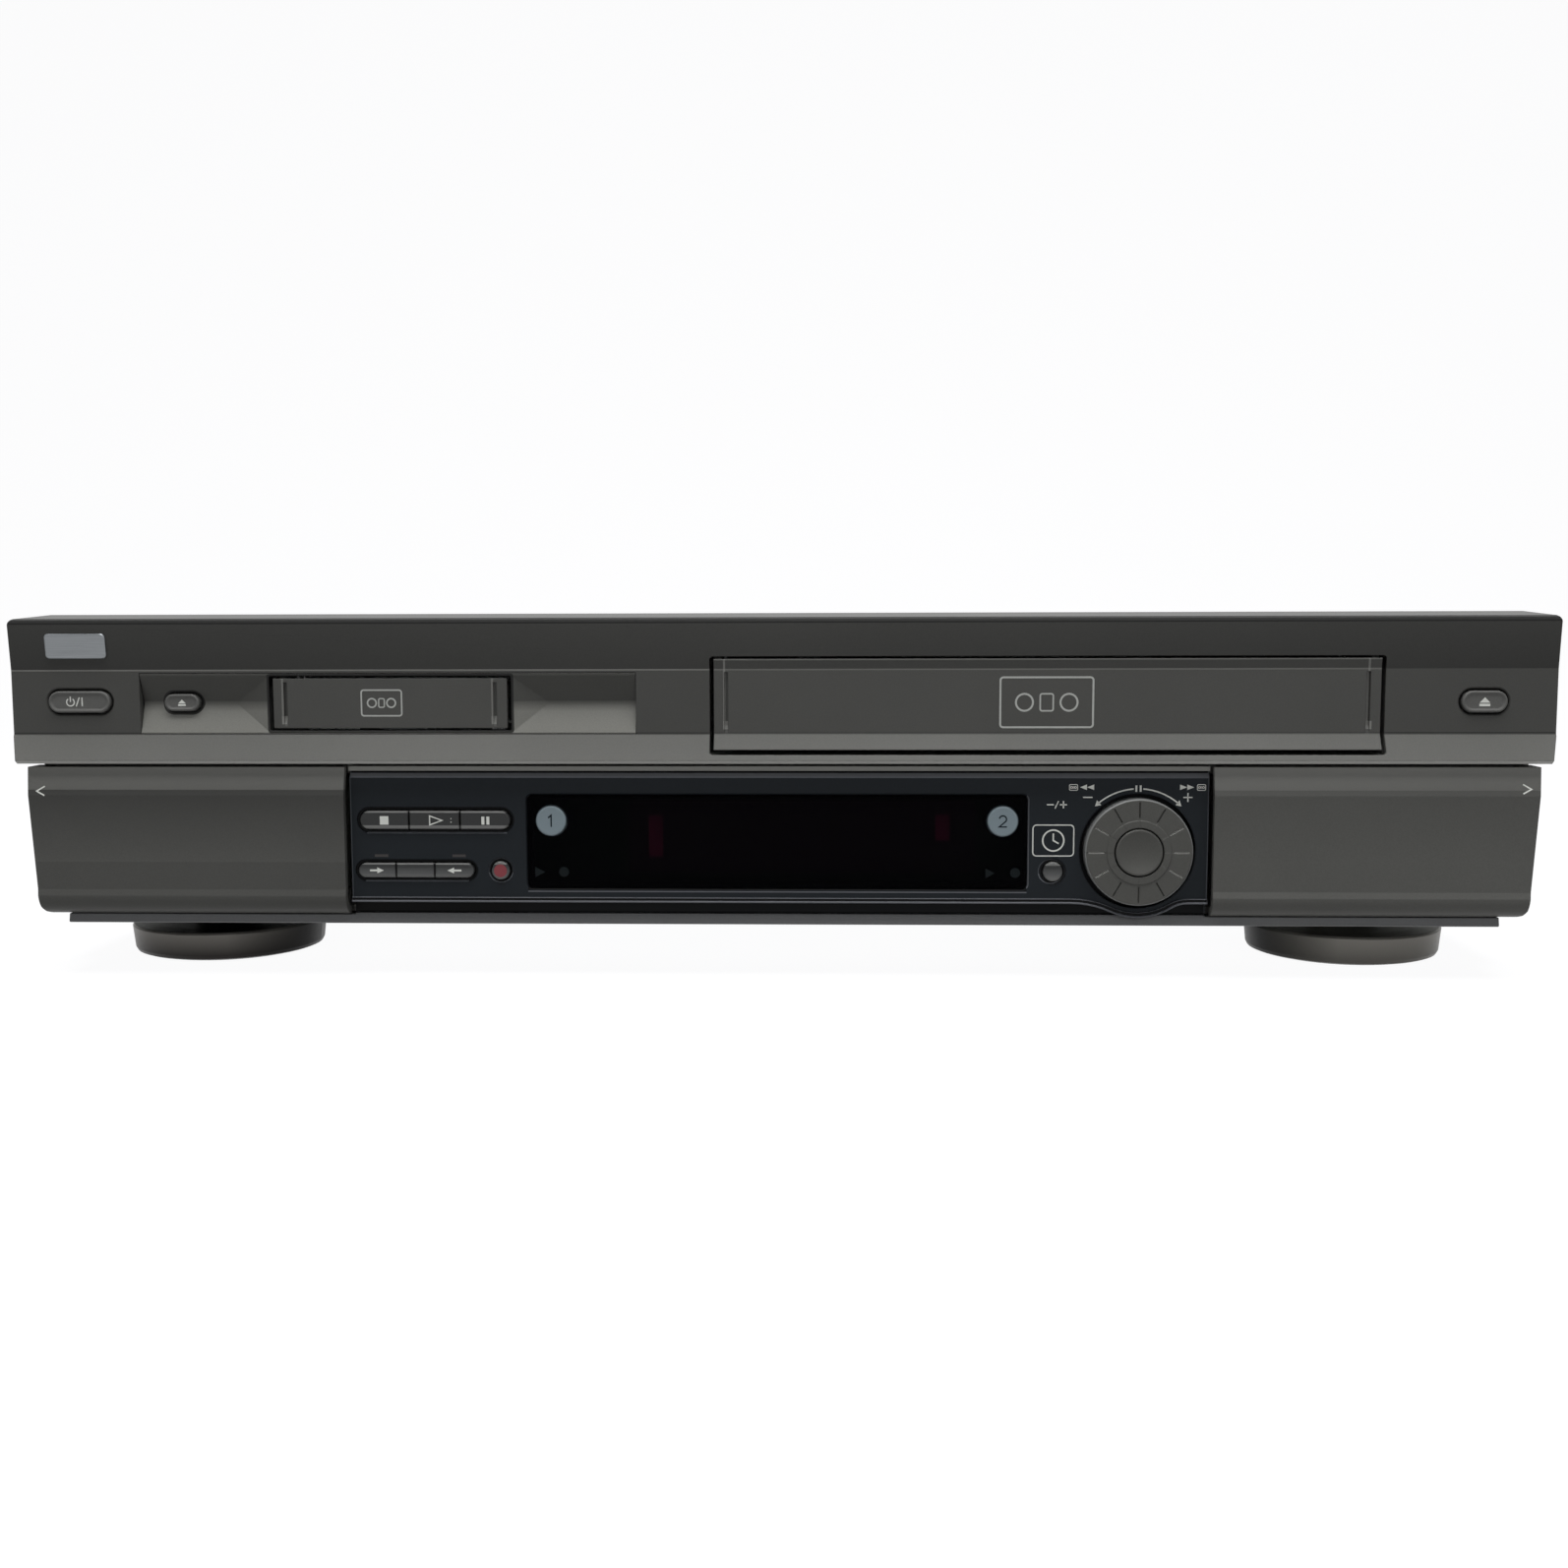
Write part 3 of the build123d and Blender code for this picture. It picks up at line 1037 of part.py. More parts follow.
def make_capstan():
    """Capstan shaft with its flywheel under the deck plate."""
    return spun([(0, deck_z - 17), (flywheel_radius, deck_z - 17), (flywheel_radius, deck_z - 12.5),
                 (6, deck_z - 12), (capstan_radius, deck_z - 11), (capstan_radius, deck_z + 31), (0, deck_z + 31)],
                (*capstan_at, 0), UP)


def make_pinch_arm():
    """Swinging arm with the fixed stub that the rubber roller turns on."""
    z = deck_z + 9
    arm = run_up(make_hull(disc(pinch_pivot, 4.5).edges() + disc(pinch_rest, 4.0).edges()), z, z + 2.4)
    arm += post(*pinch_pivot, z - 3, z + 5, 4.5)
    arm += post(*pinch_rest, z, z + 19, 1.5)
    return arm - post(*pinch_pivot, z - 4, z + 20, 2.0 + run_gap)


def make_pinch_roller():
    z = deck_z + 11.4 + fit_gap
    return spun([(1.5 + run_gap, z), (3.0, z), (3.0, z + 0.8), (pinch_radius, z + 0.8), (pinch_radius, z + 15),
                 (3.0, z + 15), (3.0, z + 15.6), (1.5 + run_gap, z + 15.6)], (*pinch_rest, 0), UP)


def make_reel_table(side):
    """Reel table: toothed disc, hub shoulder and the splined spindle that enters the cassette's reel."""
    x = vhs_x + side * reel_pitch / 2
    z = deck_z + 3 + fit_gap
    table = spun([(0, deck_z - 3), (2.0, deck_z - 3), (2.0, z), (reel_radius, z), (reel_radius, z + 2.0),
                  (12, z + 2.0), (11, z + 3.4), (4.2, z + 3.4), (4.2, z + 14), (2.6, z + 16.4), (0, z + 16.6)],
                 (x, reel_y, 0), UP)
    for i in range(3):
        table += Pos(x, reel_y, 0) * Rot(0, 0, 120 * i) * block(3.0, 6.2, -0.8, 0.8, z + 3, z + 12)
    return table


def make_tape_guide(side):
    """Guide base on its arc track, with the upright roller and the slanted pole."""
    cx, cy = guide_center(side)
    angle = math.radians(guide_turn + 1.0)
    x = cx + side * guide_arc_radius * math.cos(angle)
    y = cy - guide_arc_radius * math.sin(angle)
    top = deck_z + fit_gap
    base = run_up(guide_track(side, 10.0, guide_turn + 2.4, guide_turn - 2.4), top, top + 3)
    base += post(x, y, deck_z - deck_plate - 2.4, top + 0.5, guide_slot / 2 - 0.35)
    base += post(x, y, deck_z - deck_plate - 3.4, deck_z - deck_plate - fit_gap, guide_slot / 2 + 1.2)
    base += post(x, y, top + 2.8, top + 24, 1.4)
    base += post(x, y, top + 4, top + 21, 3.0)
    return base + post(x, y, top + 21, top + 23, 3.6) + post(x, y, top + 2.8, top + 5, 3.6)


def make_side_brackets():
    """Pressed brackets beside the cassette, each with the long slot that guides the carriage."""
    pair = []
    y0, y1 = band_y + holder_back + 3, band_y + holder_back + holder_depth + load_travel + 9
    for side in (-1, 1):
        x0, x1 = sorted((vhs_x + side * bracket_inner, vhs_x + side * (bracket_inner + sheet)))
        plate = block(x0, x1, y0, y1, deck_z, vhs_slot_top - 1)
        foot0, foot1 = sorted((vhs_x + side * bracket_inner, vhs_x + side * (bracket_inner - 5)))
        plate -= run_x_slot(x0 - 1, x1 + 1)
        plate -= block(x0 - 1, x1 + 1, y0 + 20, y1 - 30, deck_z + 8, carriage_z - 8)
        pair.append(plate)
    return pair


def run_x_slot(x0, x1):
    """Long level slot for both pins of the carriage over its whole travel."""
    clear = carriage_pin + run_gap
    return block(x0, x1, carriage_y[0] - clear - fit_gap, carriage_y[1] + load_travel + clear + fit_gap,
                 carriage_z - clear, carriage_z + clear)


def make_loading_carriage():
    """Plates that run back on the brackets' slots, tied by a bar, with upright slots for the holder."""
    y0, y1 = band_y + holder_back + 2, band_y + holder_back + holder_depth - 1
    low, high = tape_low_z - 4, vhs_slot_top + 1.6
    frame = None
    for side in (-1, 1):
        x0, x1 = sorted((vhs_x + side * carriage_inner, vhs_x + side * (carriage_inner + sheet)))
        plate = block(x0, x1, y0, y1, low - drop_travel + 6, high)
        for y in holder_pin_y:
            clear = holder_pin + run_gap
            plate -= block(x0 - 1, x1 + 1, y - clear, y + clear, holder_pin_z - drop_travel - clear - fit_gap,
                           holder_pin_z + clear + fit_gap)
        for y in carriage_y:
            tip0, tip1 = sorted((vhs_x + side * (carriage_inner + sheet / 2), vhs_x + side * (bracket_inner + sheet)))
            plate += pin_x(y, carriage_z, tip0, tip1, carriage_pin)
        frame = plate if frame is None else frame + plate
    bar = block(vhs_x - carriage_inner - 0.5, vhs_x + carriage_inner + 0.5, y1 - 9, y1, high - sheet, high)
    return frame + bar


def make_cassette_holder():
    """Folded holder: roof, side walls, ledges under the cassette's edges and the rear stops."""
    y0, y1 = band_y + holder_back, band_y + holder_back + holder_depth
    low, high = tape_low_z - sheet, tape_low_z + vhs_cassette[2] + holder_play
    outer = holder_inner + sheet
    holder = block(vhs_x - outer, vhs_x + outer, y0, y1 + sheet, low, high + sheet)
    holder -= block(vhs_x - holder_inner, vhs_x + holder_inner, y0 - 1, y1, tape_low_z, high)
    holder -= block(vhs_x - holder_inner + 10, vhs_x + holder_inner - 10, y0 - 1, y1 + 9, low - 1, tape_low_z + 1)
    holder -= block(vhs_x - holder_inner + 24, vhs_x + holder_inner - 24, y1 - 1, y1 + 9, low - 1, high - 4)
    holder -= run_up(Pos(vhs_x, (y0 + y1) / 2) * RectangleRounded(90, 20, 6), high - 1, high + 3)
    # two pressed springs' ribs on the roof and the guide pins
    for side in (-1, 1):
        holder += block(vhs_x + side * 70 - 4, vhs_x + side * 70 + 4, y0 + 6, y1 - 6, high + sheet - 0.1, high + sheet + 0.5)
        for y in holder_pin_y:
            tip0, tip1 = sorted((vhs_x + side * (holder_inner + 0.5), vhs_x + side * (carriage_inner + sheet)))
            holder += pin_x(y, holder_pin_z, tip0, tip1, holder_pin)
    return holder


# ---- small tape deck ------------------------------------------------------------------------


def make_dv_deck():
    """Small deck: plate on four legs, side rails with upright slots and the fixed half of its drum."""
    half = dv_inner + sheet + carriage_gap
    y0, y1 = band_y + dv_holder_back + 6, dv_drum_at[1] + 22
    deck = block(dv_x - half - sheet, dv_x + half + sheet, y0, y1, dv_deck_z - 1.4, dv_deck_z)
    for side in (-1, 1):
        x0, x1 = sorted((dv_x + side * half, dv_x + side * (half + sheet)))
        rail = block(x0, x1, y0, y1 - 30, dv_deck_z - 1.4, dv_low_z + 12)
        for y in dv_pin_y:
            clear = holder_pin + run_gap
            rail -= block(x0 - 1, x1 + 1, y - clear, y + clear, dv_pin_z - dv_drop - clear - fit_gap,
                          dv_pin_z + clear + fit_gap)
        deck += rail
        for y in (y0 + 6, y1 - 6):
            deck += post(dv_x + side * (half - 4), y, board_z + 1.6, dv_deck_z - 1, 3.0)
        deck -= post(dv_x + side * dv_reel_pitch / 2, dv_reel_y, dv_deck_z - 9, dv_deck_z + 9, 1.5 + run_gap)
    deck += post(*dv_drum_at, dv_deck_z - 0.2, dv_deck_z + 9, dv_drum_radius)
    return deck - post(*dv_drum_at, dv_deck_z - 9, dv_deck_z + 29, 2.5 + run_gap)


def make_dv_drum():
    z = dv_deck_z + 9 + drum_gap
    return spun([(0, dv_deck_z - 1), (2.5, dv_deck_z - 1), (2.5, z), (dv_drum_radius - 0.4, z),
                 (dv_drum_radius - 0.4, z + 8), (dv_drum_radius - 1.2, z + 8.8), (7, z + 8.8), (7, z + 10), (0, z + 10)],
                (*dv_drum_at, 0), UP)


def make_dv_reel(side):
    z = dv_deck_z + fit_gap
    return spun([(0, dv_deck_z - 1.2), (1.5, dv_deck_z - 1.2), (1.5, z), (6.5, z), (6.5, z + 1.4), (2.6, z + 2),
                 (2.6, z + 6.4), (1.2, z + 7.4), (0, z + 7.4)],
                (dv_x + side * dv_reel_pitch / 2, dv_reel_y, 0), UP)


def make_dv_holder():
    """Small cassette holder on four pins that drop in the rails' slots."""
    y0, y1 = band_y + dv_holder_back, band_y + dv_holder_back + dv_holder_depth
    low, high = dv_low_z - sheet, dv_low_z + dv_cassette[2] + 0.4
    outer = dv_inner + sheet
    holder = block(dv_x - outer, dv_x + outer, y0, y1 + sheet, low, high + sheet * 0.8)
    holder -= block(dv_x - dv_inner, dv_x + dv_inner, y0 - 1, y1, dv_low_z, high)
    holder -= block(dv_x - dv_inner + 5, dv_x + dv_inner - 5, y0 - 1, y1 + 9, low - 1, dv_low_z + 1)
    holder -= block(dv_x - dv_inner + 9, dv_x + dv_inner - 9, y1 - 1, y1 + 9, low - 1, high - 3)
    for side in (-1, 1):
        for y in dv_pin_y:
            tip0, tip1 = sorted((dv_x + side * (dv_inner + 0.5), dv_x + side * (outer + carriage_gap + sheet)))
            holder += pin_x(y, dv_pin_z, tip0, tip1, holder_pin)
    return holder


# ---- build and save -------------------------------------------------------------------------
def build():
    trim_seat = face_y + trim_thick + fit_gap
    fascia_seat = face_y + wall + fit_gap
    left_frame, right_frame = -frame_half + wall / 2, frame_half - wall / 2
    nodes = {
        "front_fascia": make_front_fascia(),
        "bottom_strip": make_bottom_strip(),
        "dv_slot_trim": make_dv_slot_trim(),
        "vhs_flap": make_vhs_flap(),
        "dv_flap": make_dv_flap(),
        "left_door": make_door(-door_half_width, panel_left - door_end_gap, left_frame, cheek_left - wall),
        "right_door": make_door(door_half_width, panel_right + door_end_gap, right_frame, cheek_right + wall),
        "display_panel": make_display_panel(),
        "display_window": make_display_window(),
        "display_tube": make_display_tube(),
        "display_board": make_display_board(),
        "power_button": make_fascia_button(power_at, power_size, face_y - 0.9, fascia_seat),
        "vhs_eject_button": make_fascia_button(vhs_eject_at, vhs_eject_size, face_y - 0.9, fascia_seat),
        "dv_eject_button": make_fascia_button(dv_eject_at, dv_eject_size, face_y + 0.6, trim_seat),
        "record_button": make_round_button(record_at, record_radius, panel_y - 0.9),
        "timer_button": make_round_button(timer_at, timer_radius, panel_y - 0.8),
        "select_button_1": make_select_button(select_at[0]),
        "select_button_2": make_select_button(select_at[1]),
        "shuttle_ring": make_shuttle_ring(),
        "jog_spindle": make_jog_spindle(),
        "jog_knob": make_jog_knob(),
        "bay_panels": [make_bay_panel(left_frame, cheek_left - wall, [disc((front_din_x, bay_z), 6.0)]),
                       make_bay_panel(right_frame, cheek_right + wall,
                                      [pill((x, bay_z), key_size, button_gap) for x in key_x])],
        "setup_key_1": make_setup_key(key_x[0]),
        "setup_key_2": make_setup_key(key_x[1]),
        "chassis_tray": make_chassis_tray(),
        "top_cover": make_top_cover(),
        "rear_panel": make_rear_panel(),
        "phono_jacks": [rca_jack(x, bay_z, bay_y, FRONT) for x in front_rca_x]
        + [rca_jack(x, z, rear_y, REAR) for x, z in rear_rca],
        "din_sockets": [din_socket(front_din_x, bay_z, bay_y, FRONT)]
        + [din_socket(x, z, rear_y, REAR) for x, z in rear_din],
        "antenna_terminals": [make_antenna_terminal(x, z) for x, z in antenna_at],
        "mains_inlet": make_mains_inlet(),
        "front_feet": make_front_feet(),
        "rear_feet": make_rear_feet(),
        "foot_pads": make_foot_pads(),
        "cover_screws": make_cover_screws(),
        "circuit_boards": [make_main_board(), make_power_supply()],
        "deck_plate": make_deck_plate(),
        "lower_drum": make_lower_drum(),
        "upper_drum": make_upper_drum(),
        "capstan": make_capstan(),
        "pinch_arm": make_pinch_arm(),
        "pinch_roller": make_pinch_roller(),
        "supply_reel": make_reel_table(-1),
        "takeup_reel": make_reel_table(1),
        "supply_guide": make_tape_guide(-1),
        "takeup_guide": make_tape_guide(1),
        "side_brackets": make_side_brackets(),
        "loading_carriage": make_loading_carriage(),
        "cassette_holder": make_cassette_holder(),
        "dv_deck": make_dv_deck(),
        "dv_drum": make_dv_drum(),
        "dv_supply_reel": make_dv_reel(-1),
        "dv_takeup_reel": make_dv_reel(1),
        "dv_holder": make_dv_holder(),
    }
    nodes.update(row_buttons(transport_row, transport_z, transport_height,
                             ("stop_button", "play_button", "pause_button")))
    nodes.update(row_buttons(dub_row, dub_z, dub_height,
                             ("dub_right_button", "dub_select_button", "dub_left_button")))
    return nodes


os.makedirs("parts", exist_ok=True)
for name, shape in build().items():
    if isinstance(shape, list):
        shape = Compound(children=shape)
    export_step(shape, f"parts/{name}.step")
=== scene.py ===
import math

import bpy
from mathutils import Matrix, Vector


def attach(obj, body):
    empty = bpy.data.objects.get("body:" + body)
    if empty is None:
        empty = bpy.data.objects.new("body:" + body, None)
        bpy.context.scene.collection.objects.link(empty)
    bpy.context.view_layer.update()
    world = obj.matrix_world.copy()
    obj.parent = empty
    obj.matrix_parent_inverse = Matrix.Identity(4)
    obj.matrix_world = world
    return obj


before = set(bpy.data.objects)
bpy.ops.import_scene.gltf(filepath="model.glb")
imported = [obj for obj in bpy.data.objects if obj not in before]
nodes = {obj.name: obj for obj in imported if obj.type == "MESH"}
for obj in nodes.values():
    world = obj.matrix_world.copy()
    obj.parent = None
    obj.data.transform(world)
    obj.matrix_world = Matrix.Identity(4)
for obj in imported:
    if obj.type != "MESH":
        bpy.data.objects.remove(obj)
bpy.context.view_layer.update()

# ---- studio -------------------------------------------------------------------------------------
# A pale floor that curves up into a pale wall, one wide soft lamp overhead and a weak one in front.
# The camera stands half a metre before the fascia, level with its top edge, tipped down and turned
# a little to the left.
camera_place = (0.0204, -0.6773, 0.10814)
camera_turn = math.atan2(0.0344, 0.9994)
camera_pitch = math.radians(5.69)
camera_roll = math.radians(-0.16)
camera_data = bpy.data.cameras.new("camera")
camera_data.sensor_width = 36.0
camera_data.lens = 39.22
camera_data.clip_start = 0.02
camera = bpy.data.objects.new("camera", camera_data)
bpy.context.scene.collection.objects.link(camera)
camera.matrix_world = (
    Matrix.Translation(camera_place)
    @ Matrix.Rotation(camera_turn, 4, "Z")
    @ Matrix.Rotation(math.pi / 2 - camera_pitch, 4, "X")
    @ Matrix.Rotation(camera_roll, 4, "Z")
)
bpy.context.scene.camera = camera
bpy.context.scene.view_settings.view_transform = "Standard"


def soft_lamp(name, place, target, width, height, watts):
    lamp_data = bpy.data.lights.new(name, "AREA")
    lamp_data.shape = "RECTANGLE"
    lamp_data.size, lamp_data.size_y = width, height
    lamp_data.energy = watts
    lamp = bpy.data.objects.new(name, lamp_data)
    bpy.context.scene.collection.objects.link(lamp)
    lamp.location = place
    lamp.rotation_euler = (Vector(target) - Vector(place)).to_track_quat("-Z", "Y").to_euler()


soft_lamp("lamp_over", (0.0, -0.33, 1.25), (0.0, -0.15, 0.05), 1.5, 0.8, 28.0)
soft_lamp("lamp_front", (0.25, -1.9, 0.7), (0.0, 0.0, 0.05), 1.2, 0.7, 4.5)


class Value:
    """A number socket in a material's nodes: arithmetic on it adds Math nodes."""

    def __init__(self, finish, socket):
        self.finish, self.socket = finish, socket

    def maths(self, operation, *terms):
        return self.finish.node("Math", {"operation": operation}, dict(enumerate(terms)))

    def __add__(self, other):
        return self.maths("ADD", self, other)

    def __sub__(self, other):
        return self.maths("SUBTRACT", self, other)

    def __rsub__(self, other):
        return self.maths("SUBTRACT", other, self)

    def __mul__(self, other):
        return self.maths("MULTIPLY", self, other)

    def __gt__(self, other):
        return self.maths("GREATER_THAN", self, other)

    def __lt__(self, other):
        return self.maths("LESS_THAN", self, other)

    def __abs__(self):
        return self.maths("ABSOLUTE", self)

    __radd__, __rmul__ = __add__, __mul__


class Finish:
    """A surface finish: a material with one Principled shader, and a method that adds any node."""

    def __init__(self, name, **constants):
        self.material = bpy.data.materials.new(name)
        self.material.use_nodes = True
        self.tree = self.material.node_tree
        self.shader = self.tree.nodes["Principled BSDF"]
        for socket, value in constants.items():
            self.shader.inputs[socket.replace("_", " ")].default_value = value

    def node(self, kind, settings, sockets, output=0):
        made = self.tree.nodes.new("ShaderNode" + kind)
        for setting, value in settings.items():
            setattr(made, setting, value)
        for socket, value in sockets.items():
            self.link(made.inputs[socket], value)
        return Value(self, made.outputs[output])

    def link(self, socket, value):
        if isinstance(value, Value):
            self.tree.links.new(value.socket, socket)
        else:
            socket.default_value = value

    def feed(self, **sockets):
        for socket, value in sockets.items():
            self.link(self.shader.inputs[socket.replace("_", " ")], value)

    def place(self):
        return self.node("TexCoord", {}, {}, "Object")

    def axes(self):
        """The place on the object in metres: across, along and up."""
        split = self.node("SeparateXYZ", {}, {"Vector": self.place()}).socket.node
        return [Value(self, split.outputs[axis]) for axis in "XYZ"]

    def noise(self, scale, detail=2.0, rough=0.5, where=None):
        sockets = {"Vector": where or self.place(), "Scale": scale, "Detail": detail, "Roughness": rough}
        return self.node("TexNoise", {}, sockets)

    def mix(self, factor, first, second):
        return self.node("Mix", {"data_type": "RGBA"}, {0: factor, 6: first, 7: second}, 2)

    def tint(self, amount, colour=(0, 0, 0, 1)):
        """Mixes another colour, black by default, into the one already fed."""
        before = Value(self, self.shader.inputs["Base Color"].links[0].from_socket)
        self.feed(Base_Color=self.mix(amount, before, colour))

    def relief(self, depth, height, edge=0.0):
        """Bump of that depth in metres, over edges rounded to that radius."""
        sockets = {"Distance": depth, "Height": height}
        if edge:
            sockets["Normal"] = self.node("Bevel", {"samples": 4}, {"Radius": edge})
        self.feed(Normal=self.node("Bump", {}, sockets))


MM = 0.001


def new_object(name, vertices, faces, finish):
    """A mesh object from corners given in millimetres."""
    mesh = bpy.data.meshes.new(name)
    mesh.from_pydata([[c * MM for c in corner] for corner in vertices], [], faces)
    mesh.materials.append(finish.material)
    made = bpy.data.objects.new(name, mesh)
    bpy.context.scene.collection.objects.link(made)
    return made


floor_finish = Finish("studio_floor", Roughness=0.9, Specular_IOR_Level=0.0, Emission_Strength=1.0)
seen = sum(floor_finish.node("LightPath", {}, {}, ray)
           for ray in ("Is Camera Ray", "Is Glossy Ray", "Is Transmission Ray"))
# what the object sees of the floor is grey, what the camera sees is white and takes the shadow
bounce_grey, seen_white = (0.25, 0.25, 0.25, 1), (0.95, 0.95, 0.955, 1)
floor_grain = floor_finish.noise(6.0)
floor_tint = floor_finish.mix(floor_grain, (0.075, 0.075, 0.077, 1), (0.085, 0.085, 0.087, 1))
floor_finish.feed(Base_Color=floor_finish.mix(seen, bounce_grey, floor_tint))
floor_finish.feed(Emission_Color=floor_finish.mix(seen, (0, 0, 0, 1), seen_white))
floor_front, floor_back, floor_half, wall_top, bend = -4.0, 2.2, 5.0, 4.0, 1.5
profile = [(floor_front, 0.0)]
profile += [(floor_back - bend + bend * math.sin(turn), bend - bend * math.cos(turn))
            for turn in (math.radians(5 * i) for i in range(19))]
profile.append((floor_back, wall_top))
floor_corners = [(x / MM, y / MM, z / MM) for y, z in profile for x in (-floor_half, floor_half)]
floor = new_object("floor", floor_corners,
                   [(2 * i, 2 * i + 1, 2 * i + 3, 2 * i + 2) for i in range(len(profile) - 1)],
                   floor_finish)
floor.data.polygons.foreach_set("use_smooth", [True] * len(floor.data.polygons))

world = bpy.data.worlds.new("room")
world.use_nodes = True
bpy.context.scene.world = world
room = world.node_tree
room.nodes["Background"].inputs["Color"].default_value = (0.97, 0.98, 1.0, 1)
rays = room.nodes.new("ShaderNodeLightPath")
level = room.nodes.new("ShaderNodeMapRange")
room_light, room_seen = 0.12, 0.98
level.inputs["To Min"].default_value = room_light
level.inputs["To Max"].default_value = room_seen
seen_ray = rays.outputs["Is Camera Ray"]
for other in ("Is Glossy Ray", "Is Transmission Ray"):
    either = room.nodes.new("ShaderNodeMath")
    room.links.new(seen_ray, either.inputs[0])
    room.links.new(rays.outputs[other], either.inputs[1])
    seen_ray = either.outputs["Value"]
room.links.new(seen_ray, level.inputs["Value"])
room.links.new(level.outputs["Result"], room.nodes["Background"].inputs["Strength"])


def tone(red, green, blue):
    """A display colour, 0 to 255, as the linear colour that a shader takes."""
    parts = [c / 255 for c in (red, green, blue)]
    return tuple(c / 12.92 if c < 0.04045 else ((c + 0.055) / 1.055) ** 2.4 for c in parts) + (1.0,)


def dress(finish, *names):
    """Puts a finish on whole CAD nodes."""
    for name in names:
        nodes[name].data.materials.clear()
        nodes[name].data.materials.append(finish.material)


def sheet_steel(name, colour, rough, metal, grain=0.15, edge=0.0003):
    """Rolled sheet with a fine cloudy grain."""
    steel = Finish(name, Metallic=metal)
    cloud = steel.noise(700.0, 4.0)
    dark = tuple(c * (1 - grain) for c in colour[:3]) + (1,)
    steel.feed(Base_Color=steel.mix(cloud, dark, colour), Roughness=rough - 0.08 + 0.16 * cloud)
    steel.relief(0.00003, cloud, edge)
    return steel


def moulded(name, colour, rough=0.4, specular=0.25, grain=0.1, edge=0.0003):
    """Plain moulded plastic with a fine spark-eroded grain."""
    plastic = Finish(name, Specular_IOR_Level=specular)
    speck = plastic.noise(1800.0, 2.0)
    dark = tuple(c * (1 - grain) for c in colour[:3]) + (1,)
    plastic.feed(Base_Color=plastic.mix(speck, dark, colour), Roughness=rough - 0.05 + 0.1 * speck)
    plastic.relief(0.00002, speck, edge)
    return plastic


zinc = sheet_steel("zinc_plate", tone(186, 188, 184), 0.4, 0.85)
across, along, _ = zinc.axes()
# the tray's front corners are painted where they show beside the doors
corner_rear, corner_inner = -0.145, 0.195
zinc.tint(0.95 * (along < corner_rear) * (abs(across) > corner_inner), tone(30, 30, 30))
dress(zinc, "chassis_tray")
black_plastic = moulded("black_plastic", tone(26, 26, 27), 0.5)
dress(black_plastic, "rear_feet")
dress(moulded("pad_rubber", tone(30, 30, 30), 0.8, 0.2), "foot_pads")

# satin paint on the rims of the front feet, with painted shade: darker towards their foot and inner
# side, the right foot painted lighter, and the tops painted black as shadow
rim_foot, rim_light, rim_top, inner_side = 0.002, 0.0085, 0.0093, 0.172
foot = Finish("foot_paint", Metallic=0.3, Specular_IOR_Level=0.15)
across, _, foot_height = foot.axes()
foot_streak = foot.noise(900.0, 2.0)
rim_shade = foot.node("MapRange", {}, {"Value": foot_height, "From Min": rim_foot, "From Max": rim_light})
rim = foot.mix(rim_shade, tone(50, 47, 45), tone(122, 119, 114))
foot.feed(Base_Color=foot.mix(foot_height > rim_top, rim, tone(12, 12, 12)),
          Roughness=0.34 + 0.1 * foot_streak)
foot.tint(0.3 * (across > 0.0), tone(165, 163, 155))
foot.tint(52.0 * (inner_side - abs(across)))
foot.relief(0.00001, foot_streak, 0.0004)
dress(foot, "front_feet")


# ---- circuit boards -----------------------------------------------------------------------------
# Two glass-fibre boards on pillars over the tray, green solder mask with paler tracks. Their parts
# are cased in black, those of the power supply at the rear left are grey metal.
board_green = Finish("board_green", Specular_IOR_Level=0.5)
cells = board_green.node("TexVoronoi", {"distance": "MANHATTAN"},
                         {"Vector": board_green.place(), "Scale": 260.0}, "Distance")
track = cells > 0.42
board_green.feed(Base_Color=board_green.mix(track, tone(18, 66, 40), tone(52, 104, 66)),
                 Roughness=0.38 - 0.08 * track)
board_green.relief(0.00004, track)
across, along, up = board_green.axes()
board_top, board_front = 0.0238, -0.147
supply_front, supply_right = 0.053, -0.131
on_the_board = (up > board_top) * (along > board_front)
board_green.tint(on_the_board, tone(30, 30, 32))
board_green.tint(on_the_board * (along > supply_front) * (across < supply_right), tone(104, 105, 108))
dress(board_green, "circuit_boards")


# ---- large tape deck ----------------------------------------------------------------------------
# Pressed deck plate with a tilted head drum, capstan, pinch roller, two reels and two tape guides.
# Side brackets carry the loading carriage, and the cassette holder drops inside it.
def streaks(metal, stretch, detail):
    """Noise drawn out into fine streaks, by its scale on each axis."""
    drawn = metal.node("Mapping", {}, {"Vector": metal.place(), "Scale": stretch})
    return metal.noise(1.0, detail, 0.6, drawn)


dress(zinc, "deck_plate", "side_brackets", "pinch_arm")
holder_steel = sheet_steel("holder_steel", tone(168, 170, 170), 0.45, 0.8)
dress(holder_steel, "loading_carriage", "cassette_holder")
turned = Finish("turned_aluminium", Metallic=1.0)
lathe = streaks(turned, (40, 40, 9000), 2.0)
turned.feed(Base_Color=turned.mix(lathe, tone(176, 178, 180), tone(214, 215, 216)),
            Roughness=0.16 + 0.12 * lathe)
turned.relief(0.000005, lathe, 0.0003)
dress(turned, "lower_drum", "upper_drum")
ground_steel = sheet_steel("ground_steel", tone(216, 216, 212), 0.2, 1.0, 0.06, 0.0002)
dress(ground_steel, "capstan", "supply_guide", "takeup_guide")
dress(moulded("roller_rubber", tone(28, 28, 29), 0.75, 0.25), "pinch_roller")
reel_white = moulded("reel_acetal", tone(206, 205, 198), 0.35)
dress(reel_white, "supply_reel", "takeup_reel")


